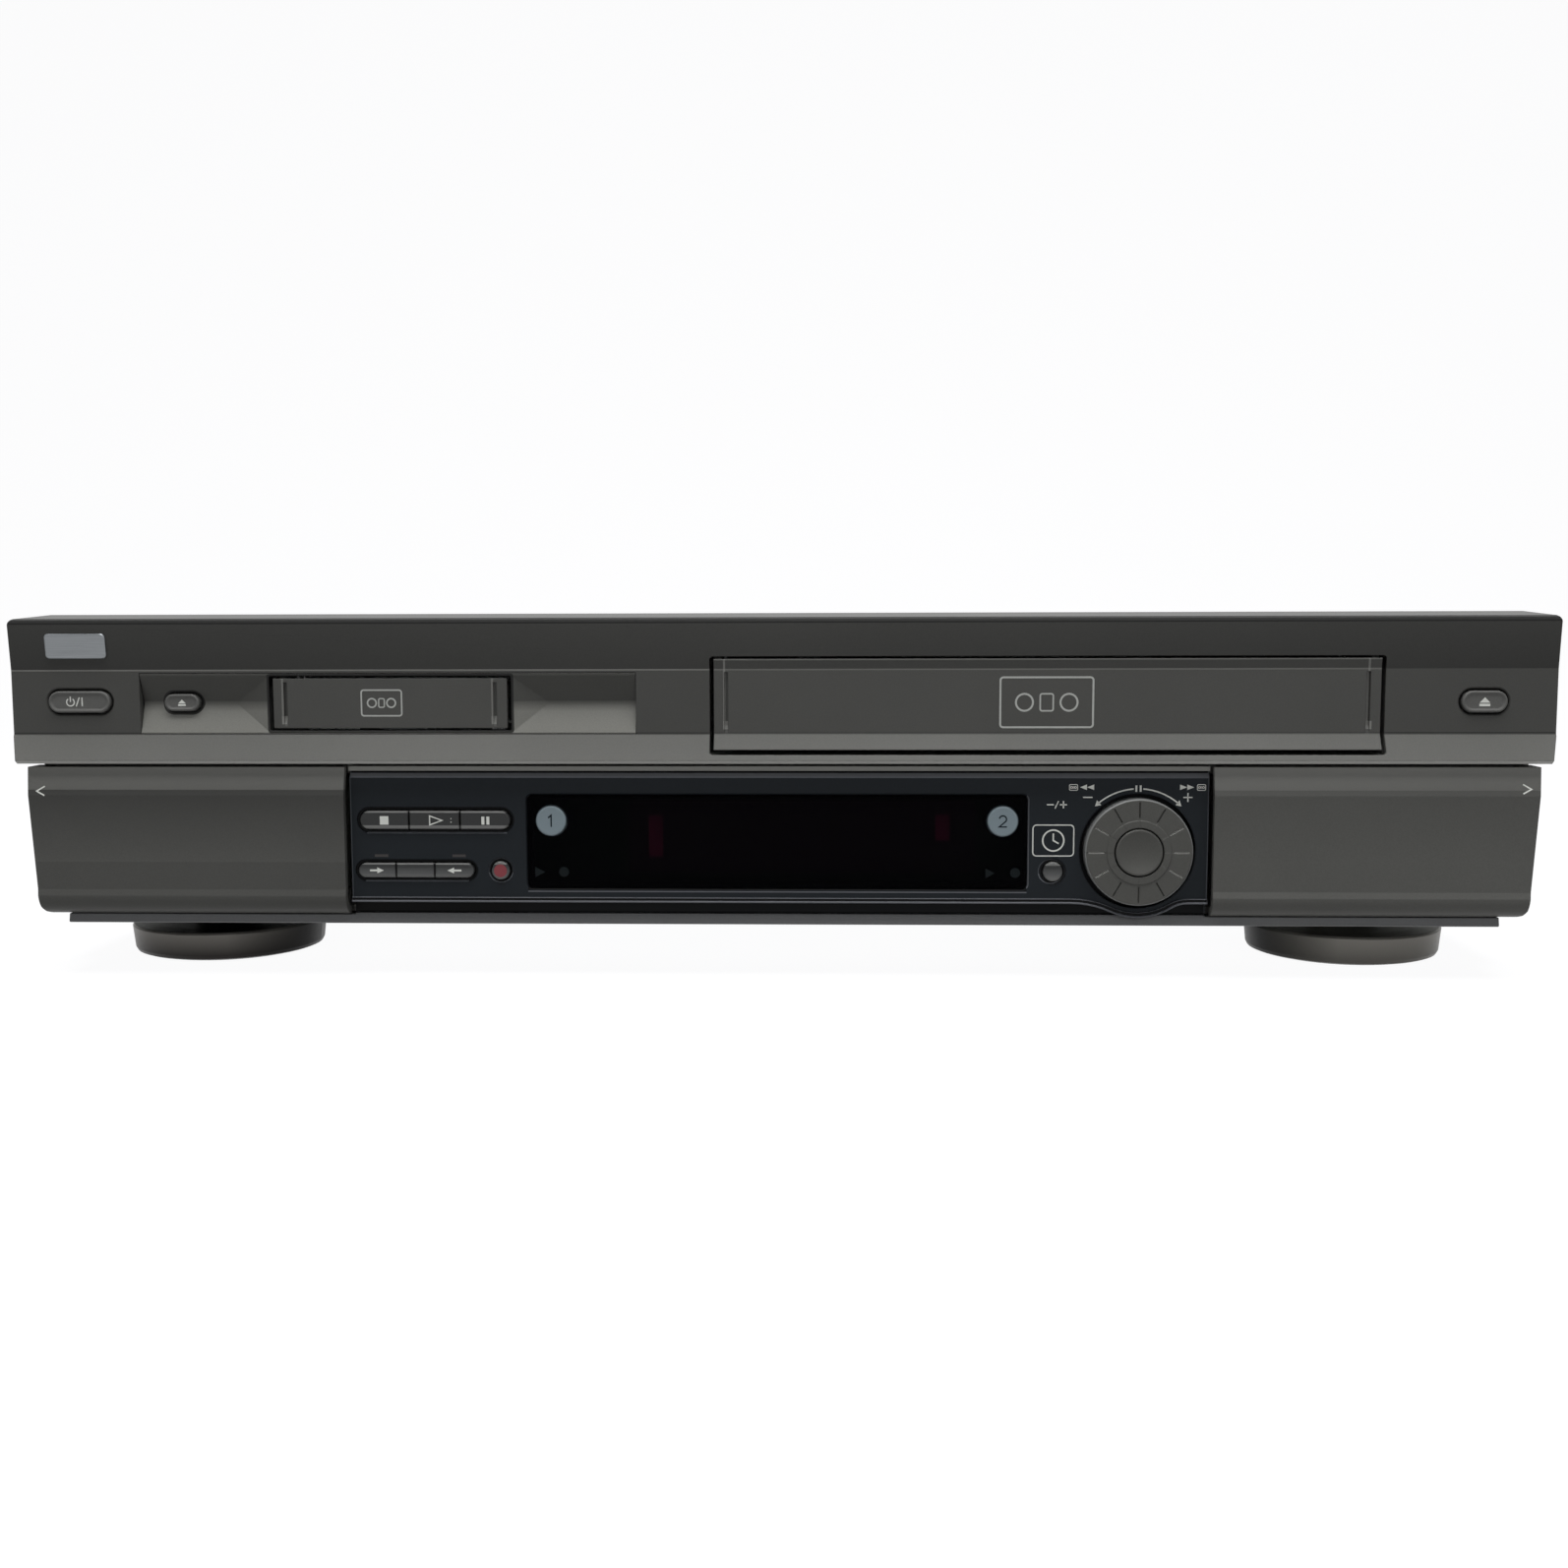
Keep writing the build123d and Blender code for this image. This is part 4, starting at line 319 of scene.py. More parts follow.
# ---- small tape deck ----------------------------------------------------------------------------
# The same parts at a third of the size on a zinc-plated plate of their own: a small drum, two
# acetal reels and a steel holder that drops over them.
dress(zinc, "dv_deck", "dv_holder")
dress(turned, "dv_drum")
dress(reel_white, "dv_supply_reel", "dv_takeup_reel")


# ---- rear panel and its sockets -----------------------------------------------------------------
# A painted steel sheet between the cover's sides. Three columns of phono jacks with coloured
# insulators, two round sockets, two aerial sockets and the mains inlet are screwed to it.
cover_paint = sheet_steel("cover_paint", tone(62, 62, 61), 0.55, 0.0, 0.1)
cover_paint.relief(0.00006, cover_paint.noise(2200.0, 1.0), 0.0003)
dress(cover_paint, "rear_panel")
dress(ground_steel, "phono_jacks", "antenna_terminals")
dress(black_plastic, "din_sockets", "mains_inlet")


def washers(centres, inner, outer, way):
    """Corners and faces of flat rings in millimetres, facing the front (-1) or the rear (1)."""
    sides = 24
    corners, faces = [], []
    for x, y, z in centres:
        first = len(corners)
        for i in range(sides):
            turn = 2 * math.pi * i / sides
            corners += [(x + r * math.cos(turn), y, z + r * math.sin(turn)) for r in (inner, outer)]
        for i in range(sides):
            a, b = first + 2 * i, first + 2 * ((i + 1) % sides)
            faces.append((a, a + 1, b + 1, b) if way < 0 else (a, b, b + 1, a + 1))
    return corners, faces


rear_face = 170.4
jack_reach, jack_size = 6.95, (1.6, 3.45)
jack_colours = {"white": tone(214, 212, 204), "red": tone(168, 34, 34), "yellow": tone(222, 182, 42)}
# one row of jacks to each colour, at these heights
for (label, colour), row_height in zip(jack_colours.items(), (38.0, 56.0, 78.0)):
    row = [(x, rear_face + jack_reach, row_height) for x in (52.0, 70.0, 88.0)]
    rear_ring = new_object("rear_insulators_" + label, *washers(row, *jack_size, 1),
                           moulded("insulator_" + label, colour, 0.35))
    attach(rear_ring, "chassis")

aerial_reach, aerial_size = 9.59, (0.8, 3.4)
aerials = [(188.0, rear_face + aerial_reach, z) for z in (74.0, 44.0)]
aerial_ring = new_object("aerial_insulators", *washers(aerials, *aerial_size, 1),
                         moulded("insulator_black", tone(20, 20, 20), 0.4))
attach(aerial_ring, "chassis")


# ---- top cover and its screws -------------------------------------------------------------------
# One steel sheet folded over the top and both sides, matt grey-black paint, cooling slots cut in it.
# Pan-head screws with a cross recess hold it at the sides and the rear panel at its top edge.
dress(cover_paint, "top_cover")
screw_black = sheet_steel("screw_black", tone(38, 38, 40), 0.35, 0.7, 0.1, 0.0001)
dress(screw_black, "cover_screws")
# the cross recesses are flat near-black crosses: painted shadow standing in for the hollow of each
recess_painted_shadow = Finish("recess_painted_shadow", Roughness=0.9, Specular_IOR_Level=0.0,
                      Base_Color=(0.004, 0.004, 0.004, 1))


def cross_recesses(name, spots, arm, slot, finish):
    """Flat crosses set on points, one on each screw head, and turned to face out; in millimetres."""
    heads = bpy.data.meshes.new(name)
    heads.from_pydata([[c * MM for c in place] for place, _ in spots], [], [])
    turns = heads.attributes.new("turn", "FLOAT_VECTOR", "POINT")
    for i, (_, way) in enumerate(spots):
        turns.data[i].vector = Vector(way).to_track_quat("Z", "Y").to_euler()
    made = bpy.data.objects.new(name, heads)
    bpy.context.scene.collection.objects.link(made)
    tree = bpy.data.node_groups.new(name, "GeometryNodeTree")
    for label, kind in (("Heads", "Geometry"), ("Arm", "Float"), ("Slot", "Float"), ("Finish", "Material")):
        tree.interface.new_socket(label, in_out="INPUT", socket_type="NodeSocket" + kind)
    tree.interface.new_socket("Recesses", in_out="OUTPUT", socket_type="NodeSocketGeometry")
    kinds = {"inputs": "NodeGroupInput", "level": "GeometryNodeMeshGrid", "upright": "GeometryNodeMeshGrid",
             "cross": "GeometryNodeJoinGeometry", "turn": "GeometryNodeInputNamedAttribute",
             "rotation": "FunctionNodeEulerToRotation", "set": "GeometryNodeInstanceOnPoints",
             "real": "GeometryNodeRealizeInstances", "paint": "GeometryNodeSetMaterial",
             "output": "NodeGroupOutput"}
    step = {label: tree.nodes.new(kind) for label, kind in kinds.items()}
    step["turn"].data_type = "FLOAT_VECTOR"
    step["turn"].inputs["Name"].default_value = "turn"
    for grid in (step["level"], step["upright"]):
        grid.inputs["Vertices X"].default_value = grid.inputs["Vertices Y"].default_value = 2
    for source, out, target, into in (
            ("inputs", "Arm", "level", "Size X"), ("inputs", "Slot", "level", "Size Y"),
            ("inputs", "Slot", "upright", "Size X"), ("inputs", "Arm", "upright", "Size Y"),
            ("level", "Mesh", "cross", "Geometry"), ("upright", "Mesh", "cross", "Geometry"),
            ("turn", "Attribute", "rotation", "Euler"), ("rotation", "Rotation", "set", "Rotation"),
            ("inputs", "Heads", "set", "Points"), ("cross", "Geometry", "set", "Instance"),
            ("set", "Instances", "real", "Geometry"), ("real", "Geometry", "paint", "Geometry"),
            ("inputs", "Finish", "paint", "Material"), ("paint", "Geometry", "output", "Recesses")):
        tree.links.new(step[source].outputs[out], step[target].inputs[into])
    modifier = made.modifiers.new(name, "NODES")
    modifier.node_group = tree
    sockets = {item.name: item.identifier for item in tree.interface.items_tree if item.in_out == "INPUT"}
    modifier[sockets["Arm"]], modifier[sockets["Slot"]] = arm * MM, slot * MM
    modifier[sockets["Finish"]] = finish.material
    graph = bpy.context.evaluated_depsgraph_get()
    plain = bpy.data.meshes.new_from_object(made.evaluated_get(graph), depsgraph=graph)
    made.modifiers.remove(modifier)
    made.data = plain
    return made


cover_side, head_reach = 226.0, 1.43
side_screws = [((side * (cover_side + head_reach), y, 26.0), (side, 0, 0))
               for side in (-1, 1) for y in (-91.6, 110.4)]
rear_screws = [((x, rear_face + head_reach, 99.4), (0, 1, 0)) for x in (-150.0, 0.0, 150.0)]
recess_arm, recess_slot = 3.0, 0.56
recesses = cross_recesses("screw_recesses", side_screws + rear_screws, recess_arm, recess_slot, recess_painted_shadow)
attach(recesses, "chassis")


# ---- front fascia and foot strip ----------------------------------------------------------------
# One long moulding in dark satin paint with fine metal flake: a leaning top band, a flat middle
# band, a chin that slopes forward, and behind the doors a frame with their hinge eyes.
def flake_paint(name, colour, rough=0.42, edge=0.0004):
    """Satin paint, mottled by its flake."""
    paint = Finish(name, Metallic=0.05, Specular_IOR_Level=0.2)
    flake = paint.noise(2600.0, 1.0)
    cloud = paint.noise(30.0, 3.0)
    shade = flake * 0.55 + cloud * 0.45
    dark = tuple(c * 0.8 for c in colour[:3]) + (1,)
    light = tuple(c * 1.2 for c in colour[:3]) + (1,)
    paint.feed(Base_Color=paint.mix(shade, dark, light), Roughness=rough - 0.06 + 0.12 * flake)
    paint.relief(0.00001, flake, edge)
    return paint


def between(way, low, high):
    """One from the low place to the high one, nothing outside them."""
    return (way > low) * (way < high)


def near(way, middle, reach):
    """One within that reach of the middle, nothing beyond it."""
    return abs(way - middle) < reach


def front_length(paint, beside, above):
    """Length of an offset in the plane of the front."""
    offset = paint.node("CombineXYZ", {}, {"X": beside, "Y": above})
    return paint.node("VectorMath", {"operation": "LENGTH"}, {"Vector": offset}, 1)


def edge_shade(paint, x, z, width, height, radius, spread=0.0006):
    """Paints shade into a narrow dark line round a rounded hole, given in metres."""
    across, _, up = paint.axes()
    beyond = [paint.node("Math", {"operation": "MAXIMUM"}, {0: abs(way) - (size / 2 - radius), 1: 0.0})
              for way, size in ((across - x, width), (up - z, height))]
    paint.tint(0.9 * (front_length(paint, *beyond) < radius + spread))


def arc(x, z, radius, start=0, end=360, steps=32):
    """Points along an arc, its ends in degrees from the right, counterclockwise."""
    turns = [math.radians(start + (end - start) * i / steps) for i in range(steps + 1)]
    return [(x + radius * math.cos(t), z + radius * math.sin(t)) for t in turns]


def rounded_box(x0, x1, z0, z1, radius, steps):
    """Outline of a box with rounded corners, in that many steps to a corner."""
    outline = []
    for x, z, start in ((x1 - radius, z0 + radius, 270), (x1 - radius, z1 - radius, 0),
                        (x0 + radius, z1 - radius, 90), (x0 + radius, z0 + radius, 180)):
        outline += arc(x, z, radius, start, start + 90, steps)
    return outline


fascia_paint = flake_paint("fascia_paint", tone(96, 96, 93))
across, along, up = fascia_paint.axes()
# heights of the folds: middle band to top band, chin to middle band, and the chin's lit foot
band_fold, chin_fold, chin_foot, lip_top = 0.0919, 0.0731, 0.0653, 0.0643
crown_low, crown_high = 0.1055, 0.1072
band_front, chin_front = -0.1755, -0.1765
panel_side, large_flap_side = 0.128, -0.0185
fold_line = 0.00022
# painted shade and light: the leaning top band is painted dark, more towards its ends and most of all
# under the crown, the middle band painted darker than the chin, and the chin's foot painted light
fascia_paint.tint((up > band_fold) * (0.66 - 9.0 * (up - band_fold) + 0.4 * abs(across))
                  + 0.47 * between(up, chin_fold, band_fold))
fascia_paint.tint(0.75 * between(up, crown_low, crown_high))
fascia_paint.tint(0.9 * between(up, lip_top, chin_foot) * (along < chin_front), tone(190, 190, 186))
# painted light on the lip under the chin, a painted shadow line in the fold above the chin, and a painted
# highlight along the top band's fold left of the large flap
fascia_paint.tint(0.5 * (up < lip_top) * (abs(across) < panel_side), tone(165, 165, 160))
fascia_paint.tint(0.6 * near(up, chin_fold, 0.00035) * (along < band_front))
fascia_paint.tint(0.8 * near(up, band_fold, fold_line) * (across < large_flap_side), tone(128, 128, 124))
# painted shade in the gaps round the power key and the large flap's eject key
edge_shade(fascia_paint, -0.2065, 0.0826, 0.0186, 0.0064, 0.0032)
edge_shade(fascia_paint, 0.2061, 0.0823, 0.0131, 0.0063, 0.00315)
dress(fascia_paint, "front_fascia")
dress(flake_paint("strip_paint", tone(103, 104, 105)), "bottom_strip")

# blank nameplate at the left of the top band, satin metal with rounded corners
plate_metal = Finish("nameplate_metal", Metallic=0.9)
brushed = streaks(plate_metal, (60, 400, 5000), 3.0)
plate_metal.feed(Base_Color=plate_metal.mix(brushed, tone(96, 100, 103), tone(150, 153, 155)),
                 Roughness=0.3 + 0.15 * brushed)
plate_half_width, plate_half_height, plate_corner = 9.1, 3.7, 1.2
plate_outline = rounded_box(-plate_half_width, plate_half_width, -plate_half_height, plate_half_height,
                            plate_corner, 6)
around = len(plate_outline)
# its wall, then its bevel: share of the full size, and how far that ring stands out
plate_rings = [(1.0, 0.0), (1.0, -0.5), (0.965, -0.75)]
plate_corners = [(x * size, y, z * size) for size, y in plate_rings for x, z in plate_outline]
plate_faces = [tuple(range(2 * around, 3 * around))]
for ring in (0, around):
    for here, after in zip(range(around), [*range(1, around), 0]):
        plate_faces.append((ring + here, ring + after, ring + around + after, ring + around + here))
nameplate = new_object("nameplate", plate_corners, plate_faces, plate_metal)
plate_place, band_lean = (-0.20685, -0.17685, 0.0992), math.atan2(1.5, 14.1)
nameplate.data.transform(Matrix.Translation(plate_place) @ Matrix.Rotation(band_lean, 4, "X"))
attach(nameplate, "chassis")


# ---- grooved insert and the two flaps -----------------------------------------------------------
# The moulded insert round the small flap has the same paint over a V groove. Both moulded flaps
# swing in on pins at their top edge. Thin ink drawings of a large and a small cassette stand on them.
insert_paint = flake_paint("insert_paint", tone(122, 122, 117))
up = insert_paint.axes()[2]
# painted shade and light on a lighter copy of the fascia's paint: dark above the bottom of the groove,
# and painted from dark to light on the facet below it
groove_fold = 0.0827
insert_paint.tint(0.71 * (up > groove_fold) + (up < groove_fold) * (0.6 - 200.0 * (groove_fold - up)))
# painted shade in the gaps round the small flap's eject key and the flap
edge_shade(insert_paint, -0.1762, 0.0823, 0.0104, 0.0051, 0.00255, 0.0011)
edge_shade(insert_paint, -0.11345, 0.0821, 0.0722, 0.0162, 0.0002, 0.0007)
dress(insert_paint, "dv_slot_trim")
flap_paint = flake_paint("flap_paint", tone(96, 96, 93))
across, _, up = flap_paint.axes()
flap_top = 0.0949
# painted shade and highlights as on the fascia: darker above the chin's fold and more above the top band's
# fold, a dark line at the chin's fold, light lines at the top band's fold and the flap's top edge
flap_paint.tint(0.4 * (up > chin_fold) + 0.2 * (up > band_fold) + 0.2 * near(up, chin_fold, 0.00035))
flap_paint.tint(0.5 * near(up, band_fold, fold_line) + 0.5 * near(up, flap_top, 0.0003), tone(128, 128, 124))
# the foot and the left wall of each upright groove catch the light
grooves, foot_reach = ((-0.1452, 0.0771), (-0.0826, 0.0771), (-0.014, 0.0755), (0.1733, 0.0755)), 0.0012
groove_feet = sum(near(across, x, 0.0007) * near(up, z, foot_reach) for x, z in grooves)
groove_walls = sum(near(across, x - 0.00035, 0.0003) * (up > z + foot_reach) for x, z in grooves)
flap_paint.tint(0.6 * groove_feet + 0.4 * groove_walls, tone(150, 150, 146))
dress(flap_paint, "vhs_flap", "dv_flap")
ink_grey = Finish("ink_grey", Roughness=0.6, Base_Color=tone(226, 228, 222))
ink_soft = Finish("ink_soft", Roughness=0.6, Base_Color=tone(178, 180, 176))


def bar(x0, x1, z0, z1):
    """A filled box, as a list of one outline."""
    return [[(x0, z0), (x1, z0), (x1, z1), (x0, z1)]]


def spot(x, z, radius):
    """A filled circle, as a list of one outline."""
    return [arc(x, z, radius)[:-1]]


def stroke(points, width, closed=False):
    """A line of that width through the points, with mitred corners."""
    if closed:
        points = points[-1:] + points + points[:1]
    rails = []
    for i, here in enumerate(points):
        before, after = points[max(i - 1, 0)], points[min(i + 1, len(points) - 1)]
        into = Vector((here[0] - before[0], here[1] - before[1])) if i else None
        away = Vector((after[0] - here[0], after[1] - here[1])) if i < len(points) - 1 else None
        into, away = (into or away).normalized(), (away or into).normalized()
        along = (into + away).normalized()
        reach = width / 2 / max(along.dot(into), 0.4)
        rails.append(((here[0] + along.y * reach, here[1] - along.x * reach),
                      (here[0] - along.y * reach, here[1] + along.x * reach)))
    if closed:
        rails = rails[1:-1] + rails[1:2]
    return [[a[0], b[0], b[1], a[1]] for a, b in zip(rails, rails[1:])]


def box_line(x0, x1, z0, z1, radius, width):
    """A line of that width round a box with rounded corners."""
    return stroke(rounded_box(x0, x1, z0, z1, radius, 5), width, closed=True)


def cassette_mark(x, z, width, height, line):
    """A cassette seen from above: outline, two reels and the window between them."""
    half_width, half_height, reel, window = width / 2, height / 2, height * 0.17, width * 0.07
    marks = box_line(x - half_width, x + half_width, z - half_height, z + half_height, line * 1.6, line)
    for side in (-1, 1):
        marks += stroke(arc(x + side * width * 0.24, z, reel, steps=24)[:-1], line, closed=True)
    return marks + box_line(x - window, x + window, z - reel, z + reel, line, line * 0.8)


def ink(name, body, y, marks, finish, lean=(0.0, 0.0)):
    """Flat ink in front of a face at y; lean is (height z, slope) of a face that leans."""
    ink_height = 0.03
    corners, faces = [], []
    for mark in marks:
        faces.append(tuple(range(len(corners), len(corners) + len(mark))))
        corners += [(x, y - ink_height + (z - lean[0]) * lean[1], z) for x, z in mark]
    made = new_object(name, corners, faces, finish)
    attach(made, body)


flap_face = -176.1
ink("large_cassette_mark", "vhs_flap", flap_face, cassette_mark(80.0, 82.2, 27.0, 14.6, 0.55), ink_soft)
ink("small_cassette_mark", "dv_flap", flap_face, cassette_mark(-116.0, 82.2, 12.0, 7.6, 0.45), ink_soft)


# ---- fascia keys --------------------------------------------------------------------------------
# Three dished moulded keys in the same paint stand in holes of the fascia and the insert: power at
# the far left, and one beside each flap that ejects its cassette. Symbols are printed in the dish.
key_paint = flake_paint("key_paint", tone(94, 94, 92), 0.36, 0.0003)
dress(key_paint, "power_button", "vhs_eject_button", "dv_eject_button")


def eject_mark(x, z, size):
    """A triangle over a bar."""
    left, right = x - 1.65 * size, x + 1.65 * size
    triangle = [(left, z - 0.35 * size), (right, z - 0.35 * size), (x, z + 1.35 * size)]
    return [triangle] + bar(left, right, z - 1.4 * size, z - 0.65 * size)


large_dish, small_dish = -176.65, -175.15
standby = stroke(arc(-209.2, 82.55, 1.15, 125, 415, 20), 0.34) + bar(-209.37, -209.03, 82.6, 84.2)
standby += stroke([(-207.5, 81.3), (-206.5, 84.0)], 0.32) + bar(-205.85, -205.5, 81.35, 83.95)
ink("power_mark", "power_button", large_dish, standby, ink_grey)
ink("vhs_eject_mark", "vhs_eject_button", large_dish, eject_mark(206.1, 82.3, 0.95), ink_grey)
ink("dv_eject_mark", "dv_eject_button", small_dish, eject_mark(-176.2, 82.3, 0.7), ink_grey)


# ---- bays behind the doors ----------------------------------------------------------------------
# Black panels set back behind the doors: a round socket and three phono jacks at the left, two
# plain keys at the right.
dress(black_plastic, "bay_panels")
dress(key_paint, "setup_key_1", "setup_key_2")
bay_face, bay_jack_height = -159.6, 46.0
for label, x in (("yellow", -181.0), ("white", -163.0), ("red", -145.0)):
    name = "front_insulator_" + label
    jack_tip = (x, bay_face - jack_reach, bay_jack_height)
    front_ring = new_object(name, *washers([jack_tip], *jack_size, -1),
                            Finish(name, Roughness=0.35, Base_Color=jack_colours[label]))
    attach(front_ring, "chassis")


# ---- doors --------------------------------------------------------------------------------------
# Two moulded flaps in the same paint that fold down on pins at their rounded foot. A small arrow is
# printed at the outer end of each.
door_paint = flake_paint("door_paint", tone(92, 92, 89))
across, _, up = door_paint.axes()
# painted shade and light: both faces painted darker, the left one more and more so towards the top
# edge; the slope above it is painted light
door_fold, slope_fold = 0.035, 0.0566
rise = up - door_fold
left = across < 0
door_paint.tint(between(up, door_fold, slope_fold) * (0.11 + 8.0 * rise + left * (0.09 + 10.3 * rise))
                + (up < door_fold) * (0.12 + 0.21 * left))
door_paint.tint((up > slope_fold) * (0.1 + 130.0 * (up - slope_fold)), tone(124, 124, 120))
dress(door_paint, "left_door", "right_door")
door_face, door_lean = -179.1, (55.0, 1.8 / 8.3)
for door, side, tip in (("left_door", -1, 56.2), ("right_door", 1, 57.0)):
    arrow = [(side * 217.2, tip + 1.4), (side * 219.6, tip), (side * 217.2, tip - 1.3)]
    ink(door + "_arrow", door, door_face, stroke(arrow, 0.4), ink_grey, door_lean)


# ---- display panel ------------------------------------------------------------------------------
# Blue-black moulding between the doors: sloping top edge, a bead along its foot that dips round the
# dial, and grey ink marks for the controls.
panel_black = moulded("panel_black", tone(36, 40, 44), 0.4, 0.08, 0.12, 0.0005)
across, along, up = panel_black.axes()
# depths: the apron set back, the bead and the step behind it, the lip under the dial, the pockets
apron, pockets = -0.1735, -0.1752
bead_front, bead_step, bead_back = -0.17622, -0.17618, -0.17601
lip_front, lip_back = -0.17538, -0.17497
# heights of the bevel along the top edge, and the sides of the panel and of the window in it
bevel_foot, bevel_line, bevel_top = 0.0599, 0.0601, 0.0613
panel_middle, panel_half, window_left, window_right = 0.0007, 0.1268, -0.0734, 0.0748
# painted shade and light: the apron painted dark as it lies in shadow, the bevel painted light with a
# painted shadow above it and a painted highlight along it, and the panel's ends painted lighter
panel_black.tint(0.85 * (along > apron))
panel_black.tint(0.8 * (up > bevel_foot), tone(118, 120, 124))
panel_black.tint(0.9 * (up > bevel_top))
panel_black.tint(0.8 * near(up, bevel_line, 0.0002) + 0.5 * (abs(across - panel_middle) > panel_half),
                 tone(122, 126, 132))
# painted shadow on the bead's front face and in a band under the window; painted highlights on the beads, on
# the lip under the dial and in a line under the window
bead = (along < bead_front) + between(along, bead_step, bead_back)
lip = between(along, lip_front, lip_back) * (across > 0.0747)
under_window = between(across, window_left, window_right) * (along < apron)
panel_black.tint(0.95 * under_window * between(up, 0.0263, 0.0275)
                 + 0.9 * between(along, bead_front, bead_step))
panel_black.tint(0.8 * (bead + lip) + 0.8 * under_window * near(up, 0.02585, 0.00018), tone(112, 114, 119))
# painted shade: the pockets round the keys are painted black as they lie in shadow, and their lower
# lips get painted highlights
record_x, timer_x, round_key_height = -0.0815, 0.0818, 0.03215
timer_pocket = near(across, timer_x, 0.0052) * (up > 0.0275)
panel_black.tint(0.9 * (along > pockets) * (up < 0.055) * ((across < -0.0765) + timer_pocket))
lower_lips = near(up, 0.0434, 0.0002) * near(across, -0.1005, 0.021)
lower_lips = lower_lips + near(up, 0.0289, 0.0002) * near(across, -0.1068, 0.0155)
for x in (record_x, timer_x):
    from_key = front_length(panel_black, across - x, up - round_key_height)
    lower_lips = lower_lips + near(from_key, 0.0036, 0.00016) * (0.4 + 0.6 * (up < 0.0315))
panel_black.tint(0.6 * lower_lips, tone(128, 132, 138))
dress(panel_black, "display_panel")
panel_face = -175.4


def pair(x, z, way):
    """Two arrowheads one behind the other."""
    return [[(x, z - 0.8), (x + 2.05 * way, z), (x, z + 0.8)][::way],
            [(x + 2.1 * way, z - 0.8), (x + 4.15 * way, z), (x + 2.1 * way, z + 0.8)][::way]]


# over the dial an arc with arrowheads, over that winding arrows, small cassettes, minus and plus
arc_x, arc_z, arc_radius = 107.2, 38.75, 18.0
scale = cassette_mark(88.25, 57.15, 2.4, 1.7, 0.22) + cassette_mark(125.55, 57.15, 2.4, 1.7, 0.22)
scale += pair(94.25, 57.2, -1) + pair(119.3, 57.2, 1)
scale += bar(91.05, 93.8, 54.05, 54.4) + bar(120.3, 123.0, 54.05, 54.4) + bar(121.48, 121.82, 52.9, 55.55)
for side in (-1, 1):
    middle, end = 90 - side * 4.5, 90 - side * 41
    scale += stroke(arc(arc_x, arc_z, arc_radius, *sorted((middle, end)), 16), 0.42)
    tip = arc(arc_x, arc_z, arc_radius, end - side * 3.5, end, 1)[0]
    wings = [arc(arc_x, arc_z, arc_radius + wing, end + side * 1.5, end, 1)[0] for wing in (-0.95, 0.95)]
    scale += [[tip, *wings][::side]]
    scale += bar(*sorted((arc_x + side * 0.35, arc_x + side * 0.9)), arc_z + arc_radius - 0.9,
                 arc_z + arc_radius + 1.0)
ink("dial_scale", "chassis", panel_face, scale, ink_grey)
# a framed clock face over the timer key, minus, stroke and plus over that
timer_marks = box_line(76.5, 88.5, 36.8, 46.0, 1.1, 0.34)
timer_marks += stroke(arc(82.5, 41.4, 3.1)[:-1], 0.45, closed=True)
timer_marks += stroke([(82.5, 43.5), (82.5, 41.4), (84.1, 40.5)], 0.42)
timer_marks += bar(80.5, 82.5, 51.85, 52.2) + bar(84.3, 86.4, 51.85, 52.2) + bar(85.18, 85.52, 50.95, 53.1)
timer_marks += stroke([(82.9, 50.9), (83.9, 53.1)], 0.32)
ink("timer_marks", "chassis", panel_face, timer_marks, ink_grey)
lens_dark = Finish("lamp_lens", Roughness=0.25, Base_Color=(0.004, 0.001, 0.001, 1))
lamps = bar(-119.4, -115.3, 36.1, 36.9) + bar(-96.0, -92.0, 36.1, 36.9)
ink("dub_lamps", "chassis", panel_face, lamps, lens_dark)


# ---- window, display tube and board -------------------------------------------------------------
# Smoked acrylic over a vacuum fluorescent tube on a board. The tube is off, with a faint red glow painted
# on as emission, brighter in two blocks, and four marks show through the smoke.
smoke = Finish("smoked_acrylic", Base_Color=(0.001, 0.001, 0.0015, 1), Roughness=0.12,
               Specular_IOR_Level=0.015, Alpha=0.8)
dress(smoke, "display_window")
tube = Finish("display_tube", Base_Color=(0.006, 0.004, 0.006, 1), Roughness=0.3, Emission_Strength=1.0)
tube_x, _, tube_z = tube.axes()
# painted glow: a faint red emission on the tube though it is off, brighter in two blocks
painted_glow = sum(near(tube_x, x, 0.0021) * near(tube_z, z, half_height)
           for x, z, half_height in ((-0.0356, 0.0418, 0.0062), (0.0502, 0.0445, 0.0038)))
haze = tube.noise(120.0, 1.0)
tube.feed(Emission_Color=tube.mix(painted_glow * haze, (0.013, 0.005, 0.011, 1), (0.24, 0.022, 0.08, 1)))
dress(tube, "display_tube")
dress(board_green, "display_board")
ghost = Finish("ghost_marks", Roughness=0.5, Specular_IOR_Level=0.05,
               Base_Color=(0.009, 0.012, 0.013, 1))
arrowheads = [[(-71.2, 30.1), (-68.2, 31.65), (-71.2, 33.2)], [(62.7, 30.1), (65.4, 31.6), (62.7, 33.0)]]
dots = spot(-62.6, 31.7, 1.5) + spot(71.4, 31.7, 1.5)
window_face = -175.3
ink("window_marks", "chassis", window_face, arrowheads + dots, ghost)


# ---- panel keys ---------------------------------------------------------------------------------
# Two split rows of moulded keys in the same paint, round record and timer keys beside them, and two
# pale acrylic keys that stand in the window.
row_paint = flake_paint("row_key_paint", tone(86, 87, 87), 0.34, 0.00035)
up = row_paint.axes()[2]
# heights of the upper row's lit foot, its face and its rim, then of the lower row's foot and face
upper_lip, upper_lip_top, upper_face, upper_rim = 0.0449, 0.0457, 0.0458, 0.0495
lower_lip, lower_face, lower_line, lower_rim, lower_top = 0.0315, 0.0317, 0.0331, 0.034, 0.038
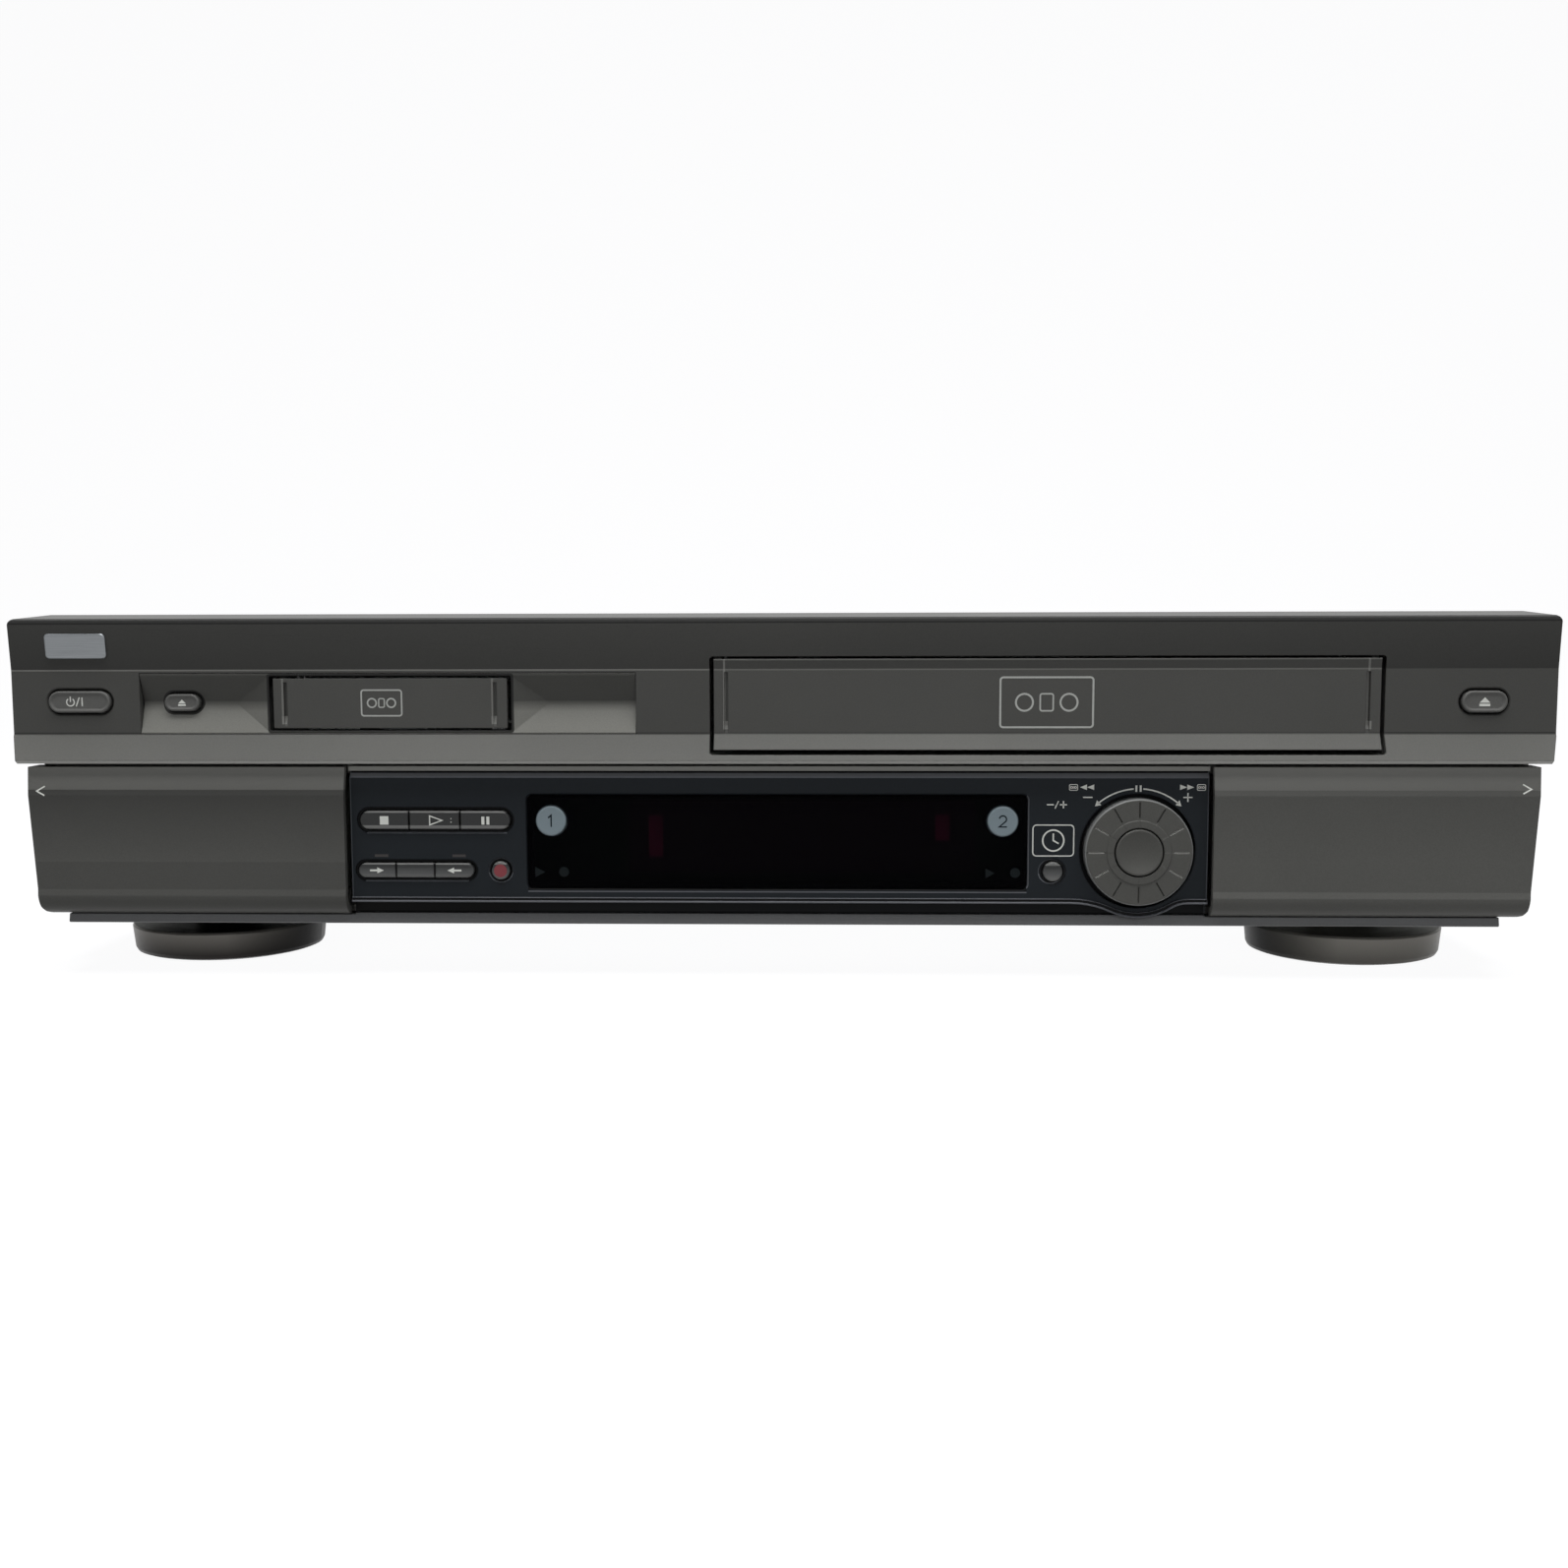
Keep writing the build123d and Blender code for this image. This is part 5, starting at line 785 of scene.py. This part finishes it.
# painted shade and highlights: each face painted dark towards its top and lighter at its foot, with
# painted highlights on the rims
row_paint.tint(0.62 * between(up, upper_face, upper_rim) + 0.6 * between(up, lower_line, lower_rim)
               + between(up, lower_face, lower_line) * 350.0 * (up - lower_face))
row_paint.tint(0.6 * (up > upper_rim) + 0.6 * between(up, upper_lip, upper_lip_top)
               + 0.5 * between(up, lower_rim, lower_top)
               + (up < lower_lip) * 300.0 * (lower_lip - up), tone(136, 136, 134))
dress(row_paint, "stop_button", "play_button", "pause_button", "dub_right_button", "dub_select_button",
      "dub_left_button", "record_button", "timer_button")
row_face = -176.4
ink("stop_mark", "stop_button", row_face, bar(-117.35, -114.75, 45.95, 48.5), ink_grey)
ink("play_mark", "play_button", row_face,
    stroke([(-102.4, 45.9), (-98.7, 47.25), (-102.4, 48.6)], 0.36, closed=True)
    + spot(-96.0, 47.75, 0.16) + spot(-96.0, 46.75, 0.16), ink_grey)
ink("pause_mark", "pause_button", row_face,
    bar(-86.9, -86.0, 46.0, 48.4) + bar(-85.4, -84.5, 46.0, 48.4), ink_grey)


def arrow_mark(tail, tip, z):
    """An arrow along the row, from its tail to its tip."""
    way = 1 if tip > tail else -1
    neck = tip - 2.0 * way
    barbs = [(neck, z - 0.9), (tip, z), (neck, z + 0.9)]
    return bar(*sorted((tail, neck)), z - 0.3, z + 0.3) + [barbs[::way]]


ink("dub_right_mark", "dub_right_button", row_face, arrow_mark(-120.7, -116.5, 32.2), ink_grey)
ink("dub_left_mark", "dub_left_button", row_face, arrow_mark(-93.2, -97.4, 32.2), ink_grey)
ink_red = Finish("ink_red", Roughness=0.45, Base_Color=tone(122, 40, 48))
record_face = -176.3
ink("record_mark", "record_button", record_face, spot(-81.5, 32.15, 1.95), ink_red)

# the two keys in the window are pale blue-grey, numbered one and two
select_acrylic = moulded("select_acrylic", tone(134, 148, 155), 0.32, 0.2, 0.04, 0.0004)
dress(select_acrylic, "select_button_1", "select_button_2")
ink_dark = Finish("ink_dark", Roughness=0.5, Specular_IOR_Level=0.1, Base_Color=tone(22, 30, 36))
one = stroke([(-67.0, 48.0), (-66.1, 48.8), (-66.1, 45.3)], 0.42)
two = stroke(arc(67.6, 47.75, 1.05, 170, -35, 10) + [(66.5, 45.5), (68.8, 45.5)], 0.42)
select_face = -176.1
ink("numeral_one", "select_button_1", select_face, one, ink_dark)
ink("numeral_two", "select_button_2", select_face, two, ink_dark)


# ---- jog dial and shuttle ring ------------------------------------------------------------------
# A moulded ring in satin paint springs back to its middle. The dished knob inside it turns freely
# and presses, on a black spindle.
dial_plastic = flake_paint("dial_plastic", tone(80, 80, 77), 0.4, 0.0003)
dress(dial_plastic, "shuttle_ring", "jog_knob")
across, along, up = dial_plastic.axes()
dial_x, dial_height, rim_radius, ring_front = 0.1072, 0.03825, 0.0154, -0.17866
from_middle = front_length(dial_plastic, across - dial_x, up - dial_height)
# a painted highlight round the outer edge of the ring
dial_plastic.tint(0.55 * (from_middle > rim_radius), tone(150, 152, 152))
# the ticks are grooves in the ring; those at its left and right catch the light
ticks = between(from_middle, 0.0102, 0.0148) * (along > ring_front)
dial_plastic.tint(0.85 * ticks * (abs(up - dial_height) < abs(across - dial_x)), tone(188, 188, 184))
dress(black_plastic, "jog_spindle")
